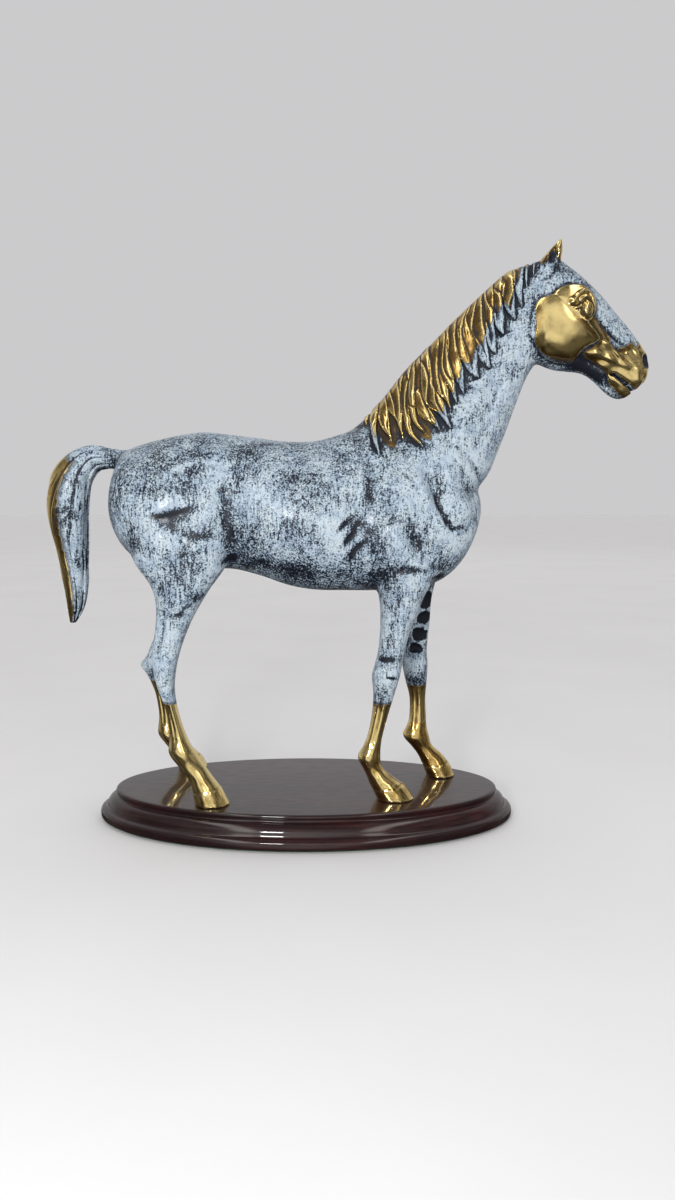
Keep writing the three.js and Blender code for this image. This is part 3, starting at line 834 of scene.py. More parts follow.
# Where the pale paint is thick (above 0) or rubbed down to the dark (below 0), and where the brass is paler
# or browner,
# seen from the side: x, z, radii, turn in degrees, amount. Two patches on the cheek are painted dark
# reflection.
PATCHES = [
    (-71, 194, 11, 3, 14, -1), (-80, 190, 6, 3, -20, -0.9), (-76, 186, 3, 4, 0, -0.5),
    (-60, 180, 7, 2, -6, -0.9), (-42, 177, 5, 5, 0, -0.7), (-45, 185, 3, 9, -12, -0.4),
    (-47, 201, 3, 7, -15, -0.3), (-38, 218, 3, 4, 0, -0.7), (-31, 225, 7, 7, 0, -0.5),
    (-60, 228, 14, 3, 5, -0.45), (-77, 219, 4, 3, 0, -0.5), (-89, 205, 4, 8, 20, -0.4),
    (-92, 172, 8, 3, -25, -0.8), (-73, 158, 9, 5, -10, -0.7), (-58, 166, 8, 6, 0, -0.4),
    (-63, 145, 6, 3, 0, -0.8), (-107, 200, 4, 8, 0, -0.6), (-106, 210, 4, 7, 0, -0.5),
    (-89, 158, 4, 9, -25, -0.6), (-70, 215, 13, 7, 0, -0.3), (-74, 198, 9, 4, 8, 0.8),
    (-48, 219, 5, 11, 0, 0.8), (-62, 189, 10, 4, 25, 0.7), (-51, 201, 4, 11, 18, 0.9),
    (-50, 175, 5, 10, -5, 1), (-81, 180, 7, 9, -20, 0.7), (-88, 189, 4, 8, -15, 0.5),
    (-104, 188, 3, 13, -8, 0.3), (-81, 156, 5, 6, 0, 0.7), (-61, 155, 7, 4, 0, 0.4),
    (-38, 201, 4, 13, 0, 0.4), (-41, 151, 4, 7, 25, 0.6), (-31, 230, 8, 4, 0, -0.4),
    (-16, 221, 14, 10, 0, -0.05), (-2, 215, 10, 3, 0, -0.4), (6, 205, 8, 3, 20, -0.5),
    (-6, 183, 13, 9, -20, -0.6), (1, 158, 22, 5, -6, -0.7), (-24, 165, 6, 3, -8, -0.8),
    (-32, 181, 5, 8, 0, -0.5), (23.6, 186.6, 6, 1.4, 46, -1.8), (26.5, 178.7, 6.5, 1.6, 46, -1.8),
    (30.8, 172.7, 6, 1.5, 45, -1.6), (31, 187, 5, 1.3, 50, -1.4), (27, 167, 4, 2, 30, -0.8),
    (49, 106.5, 4.6, 1.5, 4, -2.5), (52, 95.5, 4, 1.4, -10, -2.2), (46.5, 83, 7, 4.5, 0, -0.9),
    (53, 116, 1.4, 8, -8, -1.1), (70, 84.5, 8, 4.5, 0, -1.1), (-80, 86, 6, 4.5, 0, -0.8),
    (-103, 86, 6, 6, 0, -0.8), (-76, 192.8, 9, 1.5, 12, -1.2), (190, 284, 14, 9, -30, 0.7),
    (182, 306, 14, 5, -42, 1.3), (150, 328, 10, 4, 10, 1.1), (37, 211, 3, 11, 0, -0.8),
    (38, 203, 3, 3, 0, -0.9), (38, 184, 4, 4, 0, -0.9), (39, 175, 4, 5, 0, -0.7), (42, 158, 5, 5, 0, -0.8),
    (32, 238, 5, 6, 0, -0.8), (23, 226, 4, 3, 20, -0.6), (16, 183, 4, 10, 0, 1), (18, 169, 6, 9, 0, 0.9),
    (17, 190, 8, 4, 30, 0.7), (14, 225, 6, 9, 0, 0.6), (27, 215, 6, 13, 0, 0.5), (1, 193, 6, 3, 0, 0.8),
    (-23, 200, 8, 6, 0, 0.6), (-26, 210, 6, 6, 0, 0.5), (-1, 220, 8, 4, 0, 0.4), (33, 194, 5, 3, 0, 0.7),
    (6, 171, 6, 6, 0, 0.3), (60, 215, 2, 4, 0, -0.7), (73, 212, 5, 4, 0, -0.5), (79, 200, 2, 9, -22, -0.8),
    (85, 189, 3, 6, -30, -0.9), (65, 177, 6, 7, -30, -0.8), (62, 184, 4, 2, 0, -0.5),
    (63, 160, 7, 2, 0, -1), (79, 155, 5, 2, 15, -0.9), (50, 199, 7, 4, 0, -0.4), (53, 193, 4, 4, 0, -0.4),
    (82, 161, 5, 3, 20, -0.6), (51, 155, 5, 4, 0, -0.7), (53, 141, 4, 8, 0, -0.7), (96, 205, 3, 4, 0, -0.4),
    (90, 218, 4, 4, 0, -0.4), (74, 231, 3, 3, 0, -0.5), (42, 232, 9, 3, 0, -0.7), (62, 231, 6, 3, 0, -0.8),
    (55, 179, 5, 6, 0, 1), (90, 195, 5, 5, 0, 1), (91, 212, 3, 6, -30, 0.7), (83, 224, 14, 3, -35, 0.8),
    (74, 201, 5, 10, -15, 0.5), (85, 177, 9, 5, -25, 0.5), (67, 218, 2, 7, -20, 0.5),
    (61, 224, 4, 4, 0, 0.4), (68, 153, 6, 4, 20, 0.6), (65, 143, 3, 8, 10, 0.7), (74, 169, 5, 4, 0, 0.4),
    (113, 260, 5, 16, -28, -0.35), (112, 236, 4, 11, -20, -0.3), (90, 231, 4, 4, 0, -0.4),
    (104, 264, 4, 14, -15, 0.5), (112, 262, 17, 40, -28, 1.1), (66, 200, 24, 28, 0, 0.4),
    (-84, 218, 26, 15, 0, -0.35), (122, 285, 4, 21, -25, 0.4), (97, 247, 7, 11, -20, 0.4),
    (124, 304, 6, 11, 0, 0.5), (90, 229, 14, 3, -30, 0.5), (168, 281, 9, 3.5, -24, -1.6),
    # The patches at (136.6, 300) and (149, 284.6) brown the cheek's brass at its left rim and lower edge:
    # painted dark reflection.
    (178, 274, 6, 3, -40, -1.3), (136.6, 300, 3.4, 13, 0, -1.2), (149, 284.6, 12, 2.6, -8, -0.8),
    (144.5, 346, 3.2, 6, -25, -1.5), (150, 331, 7, 4, 30, -0.6), (147, 340, 4, 4, 0, -0.9),
    (163, 331, 6, 3, -35, -0.5), (133, 334, 2, 6, 20, -0.9), (186, 296, 9, 2, -40, -1.4),
    (206, 284, 3, 5, 0, -2.5), (143, 344, 4, 3, 0, -1),
]


# The largest distance from the edge of the polish that is kept, outside it.
UNPOLISHED = -9


def hollowness(skin, rounds):
    """How far each point lies below its surroundings, in mm; negative on a ridge."""
    normals = skin.normals()
    smooth = skin.at
    for _ in range(rounds):
        smooth = 0.4 * smooth + 0.6 * skin.averages(smooth)
    return ((smooth - skin.at) * normals).sum(1)


def head_polish(at, normals, hollows, ragged):
    """The cheek with the eye and cheekbone, the muzzle round its dark openings, and the ears."""
    x, y, z = at.T
    cheek = np.maximum(depth_in(CHEEK, x, z) - 0.6, depth_in(EYE_PATCH, x, z))
    cheek = np.maximum(cheek, 3.0 - along(CHEEKBONE, x, z)[0])
    outer = (np.abs(normals[:, 1]) - 0.08) * 14
    gap, where = along(MOUTH, x, z)
    nostril = np.stack([x - 206.0, np.abs(y) - 5.2, z - 283.8], axis=1) / (4.0, 4.8, 5.4)
    openings = 12 * bell(gap, 1.3) * ramp(0, 0.3, where)
    openings += 12 * np.exp(-np.linalg.norm(nostril, axis=1) ** 4)
    muzzle = depth_in(MUZZLE, x, z) + 0.3 * ragged - 5 * np.clip(hollows, 0, 1) - openings
    on_ear = (np.abs(y) > 5) & (x > 139) & (x < 157)
    ear = np.where(on_ear, z - 339.6 - 0.9 * np.maximum(x - 150, 0), UNPOLISHED)
    ear -= 9 * bell(x - 146.2, 2.6) * bell(z - 343.4, 4.4)
    depth = np.maximum.reduce([np.minimum(cheek, outer) + 0.3 * ragged, muzzle, ear])
    return np.where(x > 131, depth, UNPOLISHED)


def mane_polish(at, hollows, ragged):
    """The upper part of the mane, down to a jagged edge that follows the locks."""
    x, y, z = at.T
    lock = mane_cover(at)[1]
    edge = np.interp(x, *np.array(MANE_POLISH).T)
    edge += 7 * np.abs(2 * (lock % 1) - 1) - 3.5 + 6 * (hashed(np.floor(lock), 12) - 0.5)
    above = (z - edge) * 0.7 - 0.5 * hollows
    return np.minimum.reduce([above, (x - 34) * 0.8, 3.2 - y, (132.5 - x) * 0.8]) + 0.4 * ragged


def polish(skin, normals, hollows):
    """How far inside the polished brass each point is, in mm; negative in the patina."""
    x, y, z = skin.at.T
    ragged = 0.5 * swell(skin.at, 5, 12)
    depth = head_polish(skin.at, normals, hollows, ragged)
    for name, top in SOCK_TOP.items():
        own = (z < 100) & ((y < 0) == ("right" in name)) & ((x > 0) == ("fore" in name))
        depth = np.where(own, top - z + ragged, depth)
    depth = np.where((z > 228) & (x > 20) & (x < 136), mane_polish(skin.at, hollows, ragged), depth)
    # A strip down the outer side of the tail, narrower at the top.
    share, angle = tail_place(skin.at)
    around = (np.cos(angle) - 0.42 + 0.38 * share) * 9
    strip = np.minimum.reduce([around, (share - 0.27) * 90, (0.99 - share) * 90])
    depth = np.where(is_tail(skin.at), strip - 2.5 * hollows + ragged, depth)
    return np.clip(depth, UNPOLISHED, -UNPOLISHED)


def hair_tone(at, hollows):
    """How dark the patina is under the mane, most of all in its grooves and above its jagged edge."""
    x, y, z = at.T
    hair = (mane_cover(at)[3] > -1) & (y < 4) & (x > 26) & (x < 140) & (z > 225)
    dark = 1.7 * ramp(-0.1, 0.14, hollows) + 1.2 * ramp(0.3, 0.7, swell(at, 12, 61)) + 0.15
    dark += 0.5 * ramp(-1, 3, z - np.interp(x, *np.array(MANE_POLISH).T))
    return np.where(hair, dark, 0)


def tail_tone(at):
    """How dark the tail is: grooves between the locks, broken streaks along them, outer side and tip."""
    share, angle = tail_place(at)
    lock = tail_lock(share, angle)
    groove = ramp(0.16, 0.05, np.abs(lock - np.round(lock))) * ramp(-0.5, 0.1, swell(at, 22, 33))
    lane = np.floor(2.6 * lock)
    beat = share * (12 + 14 * hashed(lane, 3)) + 6.3 * hashed(lane, 5) + 1.1 * swell(at, 6, 35)
    streak = ramp(0.6, 1.0, np.sin(beat)) * ramp(0.5, 0.3, np.abs(2.6 * lock - lane - 0.5))
    dark = 1.7 * np.maximum(groove, streak) - 0.95
    dark += (0.3 + 0.9 * ramp(0.35, 0.65, share)) * ramp(0.1, 0.4, np.cos(angle))
    dark += 1.2 * ramp(0.84, 0.95, share)
    return np.where(is_tail(at), dark * ramp(0.1, 0.25, share), 0)


def paint_and_shade_tone(skin, normals, hollows):
    """Where the pale paint is thick (above 0) or worn down to the dark (below 0), with painted shade where
    the skin faces down, back or in between the legs.
    """
    x, y, z = skin.at.T
    flank = ramp(0.1, 0.5, np.abs(normals[:, 1]))
    tone = np.zeros(len(x))
    for cx, cz, rx, rz, turn, amount in PATCHES:
        tone += amount * bell(oval_reach(x, z, cx, cz, 1.15 * rx, 1.15 * rz, turn), 1) * flank
    for _, width, depth, path in CREASES:
        tone -= 0.3 * np.sign(depth) * bell(along(path, x, z)[0], 1.1 * width) * flank
    # Painted shade: darker where the skin faces down under the belly, faces back on the buttocks and faces
    # in between the legs.
    tone -= 0.75 * ramp(-0.35, -0.85, normals[:, 2]) * ramp(120, 140, z)
    tone -= 0.45 * ramp(-0.3, -0.9, normals[:, 0]) * ramp(150, 170, z) * (x < -90) * (x > -125)
    tone -= 0.35 * ramp(0.1, 0.6, -normals[:, 1] * np.sign(y)) * ramp(160, 140, z)
    tone -= hair_tone(skin.at, hollows)
    # Darker in the folds of the head, and on the polished feet.
    tone -= 1.6 * ramp(0.1, 0.8, hollows) * (x > 140) * (z > 255)
    tone -= np.where(x > 0, 0.8, 0.4) * ramp(82, 78, z)
    tone -= tail_tone(skin.at)
    for reach in dimple_reaches(skin.at):
        tone -= 2.2 * ramp(1.15, 0.85, reach) * (y > 3) * (normals[:, 1] < 0)
    return np.clip(tone, -2, 2)


def add_fields(skin):
    """Stores what the finish needs to know at each point."""
    normals = skin.normals()
    near = hollowness(skin, 10)
    fields = {
        "hollow": near,
        "valley": hollowness(skin, 36),
        "polish": polish(skin, normals, near),
        "tone": paint_and_shade_tone(skin, normals, near),
    }
    for name, values in fields.items():
        layer = skin.mesh.attributes.new(name, "FLOAT", "POINT")
        layer.data.foreach_set("value", values.astype(np.float32))


# ---------------------------------------------------------------- parting the skin along the casting seams

# Each seam is a plane across the horse through two points of the XZ plane, and the box that it stays in.
SEAMS = {
    "neck": ((24, 242.4), (108.4, 210), (18, 115, 205, 260)),
    "head": ((132, 342), (139, 283), (120, 150, 272, 350)),
    "tail": ((-118.5, 240), (-118.5, 213), (-125, -112, 213, 240)),
    "fore": ((20, 142), (100, 142), (30, 100, 138, 146)),
    "hind": ((-120, 152), (-40, 152), (-120, -42, 148, 156)),
}
# What the finish is told at each point.
FIELDS = ("hollow", "valley", "polish", "tone")


def height_over(seam, x, z):
    """Signed distance of points from a seam's plane."""
    (ax, az), (bx, bz), _ = SEAMS[seam]
    length = math.hypot(bx - ax, bz - az)
    return ((bx - ax) * (z - az) - (bz - az) * (x - ax)) / length


def cut_seams(mesh):
    """Adds edges to the mesh where the seams' planes cross it."""
    work = bmesh.new()
    work.from_mesh(mesh)
    for seam, ((ax, az), (bx, bz), (left, right, low, high)) in SEAMS.items():
        faces = []
        for face in work.faces:
            x, _, z = face.calc_center_median() / MM
            if left < x < right and low < z < high and abs(height_over(seam, x, z)) < 2.5:
                faces.append(face)
        edges = {edge for face in faces for edge in face.edges}
        verts = {vert for face in faces for vert in face.verts}
        normal = Vector((az - bz, 0, bx - ax)).normalized()
        bmesh.ops.bisect_plane(work, geom=[*faces, *edges, *verts], plane_co=Vector((ax, 0, az)) * MM,
                               plane_no=normal, dist=1e-7)
    work.to_mesh(mesh)
    work.free()


def part_of(x, y, z):
    """The name of the casting that holds each point."""
    names = np.full(len(x), "torso", dtype="<U16")
    neck = (height_over("neck", x, z) > 0) & (x > 18)
    names[neck] = "neck"
    names[neck & (height_over("head", x, z) > 0)] = "head"
    names[(x < -118.5) & (z > 213)] = "tail"
    names[(x < -124.5) & (z > 118)] = "tail"
    for name in LEGS:
        low = (z < 142) & (x > 20) if "fore" in name else (z < 152) & (x < -42) & (x > -124)
        names[low & ((y < 0) == ("right" in name))] = name
    return names


def loops_of(starts, ends):
    """Closed rings of points from the one-way edges of a rim."""
    following = dict(zip(starts.tolist(), ends.tolist()))
    while following:
        first, point = next(iter(following.items()))
        ring = [first]
        del following[first]
        while point != first:
            ring.append(point)
            point = following.pop(point)
        yield ring


def parted(skin):
    """One closed mesh for each casting."""
    mesh = skin.mesh
    cut_seams(mesh)
    count = len(mesh.vertices)
    at = read_all(mesh.vertices, "co", 3).reshape(-1, 3)
    fields = {name: read_all(mesh.attributes[name].data, "value") for name in FIELDS}
    total = read_all(mesh.polygons, "loop_total", kind=np.int32)
    corners = read_all(mesh.loops, "vertex_index", kind=np.int32)
    starts = np.concatenate([[0], np.cumsum(total)[:-1]])
    owner = np.repeat(np.arange(len(total)), total)
    following = np.arange(len(corners)) + 1
    following[starts + total - 1] = starts
    centres = np.stack([np.bincount(owner, at[corners, k]) / total for k in range(3)]) / MM
    names = part_of(*centres)
    pieces = {}
    for part in np.unique(names):
        chosen = names[owner] == part
        used, local = np.unique(corners[chosen], return_inverse=True)
        a, b = corners[chosen], corners[following[chosen]]
        # An edge with no twin in the other direction is on the rim of the casting.
        rim = ~np.isin(a.astype(np.int64) * count + b, b.astype(np.int64) * count + a)
        number = {point: k for k, point in enumerate(used.tolist())}
        points = [at[used]]
        values = {name: [fields[name][used]] for name in FIELDS}
        caps = []
        for ring in loops_of(a[rim], b[rim]):
            middle = len(used) + len(points) - 1
            points.append(at[ring].mean(0, keepdims=True))
            for name in FIELDS:
                values[name].append(fields[name][ring].mean(keepdims=True))
            caps += [(number[q], number[p], middle) for p, q in zip(ring, [*ring[1:], ring[0]])]
        values = {name: np.concatenate(values[name]) for name in FIELDS}
        pieces[part] = mesh_from(part, np.vstack(points), local, total[names == part], caps, values)
    return pieces


def mesh_from(name, points, corners, sizes, caps, fields):
    """A mesh of smooth faces, listed by their corners and sizes, and of flat triangles that cap it."""
    mesh = bpy.data.meshes.new(name)
    corners = np.concatenate([corners, np.array(caps, int).ravel()]).astype(np.int32)
    sizes = np.concatenate([sizes, np.full(len(caps), 3)])
    mesh.vertices.add(len(points))
    mesh.vertices.foreach_set("co", points.astype(np.float32).ravel())
    mesh.loops.add(len(corners))
    mesh.loops.foreach_set("vertex_index", corners)
    mesh.polygons.add(len(sizes))
    starts = np.concatenate([[0], np.cumsum(sizes)[:-1]]).astype(np.int32)
    mesh.polygons.foreach_set("loop_start", starts)
    smooth = np.arange(len(sizes)) < len(sizes) - len(caps)
    mesh.polygons.foreach_set("use_smooth", smooth)
    mesh.update(calc_edges=True)
    for field, values in fields.items():
        mesh.attributes.new(field, "FLOAT", "POINT").data.foreach_set("value", values)
    return mesh


# ---------------------------------------------------------------- materials


class Shader:
    """The nodes of a material or a world. Each call adds a node and returns its output."""

    def __init__(self, owner, surface="Principled BSDF"):
        owner.use_nodes = True
        self.owner = owner
        self.links = owner.node_tree.links
        self.nodes = owner.node_tree.nodes
        self.surface = self.nodes[surface]

    def put(self, value, socket):
        if isinstance(value, bpy.types.NodeSocket):
            self.links.new(value, socket)
        elif isinstance(value, tuple) and len(value) == 3 and socket.type == "RGBA":
            socket.default_value = (*value, 1)
        else:
            socket.default_value = value

    def set(self, **values):
        """Sets or links sockets of the surface, their names written with underscores."""
        for name, value in values.items():
            self.put(value, self.surface.inputs[name.replace("_", " ")])

    def maths(self, operation, *values):
        node = self.nodes.new("ShaderNodeMath")
        node.operation = operation
        for value, socket in zip(values, node.inputs):
            self.put(value, socket)
        return node.outputs[0]

    def mixed(self, amount, first, second):
        """The first value where the amount is 0, the second where it is 1."""
        return self.maths("MULTIPLY_ADD", self.maths("SUBTRACT", second, first), amount, first)

    def total(self, *terms):
        """The sum of terms, each a value or a (value, factor) pair."""
        result = 0.0
        for term in terms:
            value, factor = term if isinstance(term, tuple) else (term, 1.0)
            result = self.maths("MULTIPLY_ADD", value, factor, result)
        return result

    def between(self, low, high, value, start=0.0, end=1.0):
        """Eases from start to end as the value goes from low to high."""
        node = self.nodes.new("ShaderNodeMapRange")
        node.interpolation_type = "SMOOTHSTEP"
        settings = {"Value": value, "From Min": low, "From Max": high, "To Min": start, "To Max": end}
        for name, number in settings.items():
            self.put(number, node.inputs[name])
        return node.outputs[0]

    def blend(self, amount, first, second, mode="MIX"):
        node = self.nodes.new("ShaderNodeMix")
        node.data_type = "RGBA"
        node.blend_type = mode
        self.put(amount, node.inputs[0])
        self.put(first, node.inputs[6])
        self.put(second, node.inputs[7])
        return node.outputs[2]

    def colours(self, value, *stops):
        """A colour ramp of (position, colour) stops."""
        node = self.nodes.new("ShaderNodeValToRGB")
        elements = node.color_ramp.elements
        while len(elements) < len(stops):
            elements.new(0.5)
        for element, (position, colour) in zip(elements, stops):
            element.position = position
            element.color = (*colour, 1)
        self.put(value, node.inputs[0])
        return node.outputs[0]

    def field(self, name):
        node = self.nodes.new("ShaderNodeAttribute")
        node.attribute_name = name
        return node.outputs["Fac"]

    def place(self, stretch=(1, 1, 1), turn=(0, 0, 0)):
        """The object's own coordinates in millimetres, stretched along each axis."""
        source = self.nodes.new("ShaderNodeTexCoord").outputs["Object"]
        node = self.nodes.new("ShaderNodeMapping")
        node.inputs["Rotation"].default_value = tuple(math.radians(a) for a in turn)
        node.inputs["Scale"].default_value = tuple(1 / MM / s for s in stretch)
        self.put(source, node.inputs["Vector"])
        return node.outputs[0]

    def noise(self, size, detail=2.0, roughness=0.5, distortion=0.0, stretch=(1, 1, 1), turn=(0, 0, 0)):
        node = self.nodes.new("ShaderNodeTexNoise")
        self.put(self.place(stretch, turn), node.inputs["Vector"])
        node.inputs["Scale"].default_value = 1 / size
        node.inputs["Detail"].default_value = detail
        node.inputs["Roughness"].default_value = roughness
        node.inputs["Distortion"].default_value = distortion
        return node.outputs[0]

    def bump(self, height, millimetres, strength=1.0, below=None):
        node = self.nodes.new("ShaderNodeBump")
        node.inputs["Strength"].default_value = strength
        node.inputs["Distance"].default_value = millimetres * MM
        self.put(height, node.inputs["Height"])
        if below is not None:
            self.put(below, node.inputs["Normal"])
        return node.outputs[0]


def paint_cover(s, grain, clots, shade, solid):
    """How well the paint covers: speckled where the brush skipped, thick where it dragged, and thinner
    where the shade term is low, which holds patina in the hollows and painted shade.
    """
    drift = s.noise(16, 3, 0.55, 0.6)
    brushed = s.noise(1.15, 2, 0.55, 0.3, stretch=(1, 1, 8))
    slanted = s.noise(1.05, 2, 0.55, 0.3, stretch=(1, 1, 7), turn=(0, 35, 0))
    sweep = s.between(0.42, 0.6, s.noise(24, 2))
    strokes = s.mixed(sweep, brushed, slanted)
    textures = ((grain, 2.3), (clots, 0.9), (drift, 1.0), (strokes, 1.6))
    return s.total(*textures, shade, (solid, 0.8), (1.0, -2.3))


def paint_colour(s, cover, clots, depth):
    """From blue-black metal to thick pale paint, dark again along the edge of the polished parts."""
    paint = s.colours(cover, (0.0, (0.006, 0.009, 0.017)), (0.34, (0.014, 0.02, 0.035)),
                      (0.44, (0.09, 0.12, 0.16)), (0.56, (0.22, 0.285, 0.345)),
                      (0.74, (0.34, 0.42, 0.485)), (1.0, (0.52, 0.605, 0.67)))
    tint = s.colours(s.noise(9, 4, 0.6, 0.5), (0.34, (0.62, 0.67, 0.77)), (0.5, (0.95, 0.97, 1.0)),
                     (0.66, (1.0, 0.98, 0.94)))
    paint = s.blend(0.8, paint, tint, "MULTIPLY")
    rim = s.between(-2.6, -0.2, s.total(depth, (clots, 3.0), (1.0, -1.5)))
    return s.blend(s.maths("MULTIPLY", rim, 0.75), paint, (0.012, 0.013, 0.018))


def bronze_finish():
    """Pale paint brushed over blue-black bronze, with some parts polished to bare brass, and painted shade
    where the horse faces down, back or in between its legs.
    """
    s = Shader(bpy.data.materials.new("patinated_bronze"))
    hollow, valley, depth, tone = (s.field(name) for name in FIELDS)
    grain = s.noise(0.95, 2.5, 0.6)
    clots = s.noise(3.2, 3, 0.62, 0.4)
    # The shade term thins the paint in the hollows, where the patina shows, and through the tone field adds
    # painted shade under the belly, on the buttocks and between the legs.
    shade = s.total((tone, 0.3), (hollow, -0.9), (valley, -0.3))
    shade = s.maths("MINIMUM", s.maths("MAXIMUM", shade, -0.48), 0.25)
    solid = s.maths("MINIMUM", s.total(tone, (1.0, 1.1)), 0.0)
    cover = paint_cover(s, grain, clots, shade, solid)
    paint = paint_colour(s, cover, clots, depth)
    # Bare brass on the high places, brown where the cloth did not reach, and browner where the tone field
    # paints shade and dark reflection.
    bare = s.between(-0.25, 0.25, s.total(depth, (s.noise(2.4, 3, 0.6), 1.6), (1.0, -0.8)))
    scratches = s.noise(0.6, 2, 0.6, stretch=(1, 1, 14))
    edge = s.between(3.6, 0.2, depth)
    soot_and_painted_shade = s.total((hollow, 2.4), (valley, 1.0), (tone, -0.5), (s.noise(7, 3, 0.6), 0.9), (edge, 0.6),
                   (scratches, 0.35), (1.0, -0.66))
    brass = s.colours(soot_and_painted_shade, (0.0, (0.82, 0.65, 0.29)), (0.3, (0.57, 0.39, 0.13)),
                      (0.62, (0.25, 0.145, 0.045)), (1.0, (0.03, 0.02, 0.012)))
    s.set(Base_Color=s.blend(bare, paint, brass))
    s.set(Metallic=s.maths("MULTIPLY", bare, s.between(1.0, 0.7, soot_and_painted_shade)))
    paint_rough = s.total(s.between(0.2, 0.9, cover, 0.36, 0.5), (solid, -0.35))
    brass_rough = s.total((s.noise(5, 3, 0.6), 0.2), (scratches, 0.14), (s.between(0.3, 1.0, soot_and_painted_shade), 0.3))
    s.set(Roughness=s.mixed(bare, paint_rough, brass_rough))
    s.set(Specular_IOR_Level=0.35, Coat_Weight=0.1, Coat_Roughness=0.12)
    # The paint lies in layers over the uneven cast skin.
    cast = s.bump(s.noise(9, 2, 0.5), 0.5, 0.35)
    layers = s.total(s.between(0.05, 0.8, cover), (grain, 0.6))
    layers = s.maths("MULTIPLY", layers, s.between(-0.2, -1.8, depth))
    s.set(Normal=s.bump(layers, 0.16, 0.9, cast))
    return s.owner


def mahogany_finish():
    """Dark red-brown wood with long grain along the plinth, under thick lacquer."""
    s = Shader(bpy.data.materials.new("mahogany"))
    figure = s.noise(6, 4, 0.6, 0.8, stretch=(14, 1, 1))
    pores = s.noise(0.7, 2, 0.6, stretch=(16, 1, 1))
    bands = s.noise(26, 2, 0.5, 0.5, stretch=(5, 1, 1))
    mix = s.total((figure, 0.8), (bands, 0.8), (1.0, -0.3))
    wood = s.colours(mix, (0.0, (0.006, 0.0025, 0.003)), (0.45, (0.015, 0.004, 0.005)),
                     (0.7, (0.03, 0.006, 0.0065)), (1.0, (0.055, 0.011, 0.01)))
    dark = s.between(0.5, 0.34, pores)
    s.set(Base_Color=s.blend(s.maths("MULTIPLY", dark, 0.6), wood, (0.006, 0.003, 0.003)))
    s.set(Roughness=s.between(0.3, 0.7, pores, 0.5, 0.36), Specular_IOR_Level=0.2, Coat_Weight=0.8,
          Coat_Roughness=0.05)
    s.set(Normal=s.bump(pores, 0.05, 0.3, s.bump(s.noise(22, 1), 0.3, 0.25)))
    return s.owner


def baize_finish():
    """Dark green felt: matted fibres with a soft sheen."""
    s = Shader(bpy.data.materials.new("baize"))
    fibres = s.noise(0.35, 4, 0.7, 2.0)
    mat = s.noise(3.5, 3, 0.6, 0.5)
    pile = s.total((fibres, 0.9), (mat, 0.4), (1.0, -0.2))
    s.set(Base_Color=s.colours(pile, (0.1, (0.006, 0.022, 0.014)), (0.5, (0.016, 0.055, 0.034)),
                               (0.9, (0.04, 0.11, 0.07))))
    s.set(Roughness=s.between(0.3, 0.7, mat, 0.86, 0.98), Sheen_Weight=0.4, Sheen_Roughness=0.5)
    s.set(Normal=s.bump(fibres, 0.3, 0.8))
    return s.owner


def steel_finish():
    """Zinc-bright steel with turning marks."""
    s = Shader(bpy.data.materials.new("brushed_steel"))
    marks = s.noise(0.25, 3, 0.6, stretch=(8, 8, 1))
    bloom = s.noise(2.2, 3, 0.6)
    s.set(Base_Color=s.colours(bloom, (0.3, (0.42, 0.43, 0.45)), (0.7, (0.62, 0.62, 0.61))), Metallic=1.0)
    s.set(Roughness=s.total((marks, 0.25), (bloom, 0.2), (1.0, 0.1)), Normal=s.bump(marks, 0.03, 0.4))
    return s.owner


def floor_finish():
    """Plain pale board."""
    s = Shader(bpy.data.materials.new("studio_floor"))
    cloud = s.noise(160, 3, 0.5)
    s.set(Base_Color=s.colours(cloud, (0.3, (0.79, 0.785, 0.79)), (0.7, (0.82, 0.815, 0.82))))
    s.set(Roughness=0.75)
    return s.owner


# ---------------------------------------------------------------- putting the pieces in


def add_piece(name, mesh, finish, node):
    """Puts a mesh in the scene in place of a node of the frame."""
    piece = bpy.data.objects.new(name, mesh)
    bpy.context.scene.collection.objects.link(piece)
    mesh.materials.clear()
    mesh.materials.append(finish)
    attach(piece, "root")
    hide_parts(node)


def castings(finish):
    """The horse's skin, parted into the torso, neck, head, tail and legs."""
    add_fields(horse)
    for part, mesh in parted(horse).items():
        name = f"{part}_leg" if part in LEGS else part
        add_piece(name, mesh, finish, f"{name}_casting")


# The plinth's moulding: how far it stands in from the foot, and the height.
MOULDING = [(1.2, 1.3), (0.25, 1.9), (0, 2.8), (0, 5.0), (0.4, 6.3), (1.5, 7.2), (3.2, 7.7), (3.9, 8.2),
            (4.4, 9.4), (4.9, 11), (5.9, 12.6), (7.5, 13.9), (9.2, 14.6), (10.1, 15.0), (10.25, 15.6),
            (10.2, 16.5), (9.9, 17.3), (10.0, 18.2), (10.5, 18.8), (11.4, 19.0)]
PLINTH_SIDES = 288


def plinth(finish):
    """The moulded oval board, as large as its CAD node."""
    low, high = (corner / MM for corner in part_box("plinth"))
    levels = smooth_rows(MOULDING, 3)
    levels[:, 1] = np.clip(levels[:, 1], low.z, high.z)
    turns = np.arange(PLINTH_SIDES) * 2 * math.pi / PLINTH_SIDES
    rings = []
    for inset, height in levels:
        x, y = (high.x - inset) * np.cos(turns), (high.y - inset) * np.sin(turns)
        rings.append(np.stack([x, y, np.full(PLINTH_SIDES, height)], -1))
    for shrink in (0.985, 0.9):
        rings.append(rings[-1] * (shrink, shrink, 1))
    mesh = bpy.data.meshes.new("plinth_board")
    mesh.from_pydata((np.vstack(rings) * MM).tolist(), [], ring_faces(len(rings), PLINTH_SIDES))
    mesh.shade_smooth()
    add_piece("plinth_board", mesh, finish, "plinth")


def carried_over(node_name, finish):
    """Gives a CAD node that stays a better material."""
    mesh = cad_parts[node_name].data
    mesh.materials.clear()
    mesh.materials.append(finish)


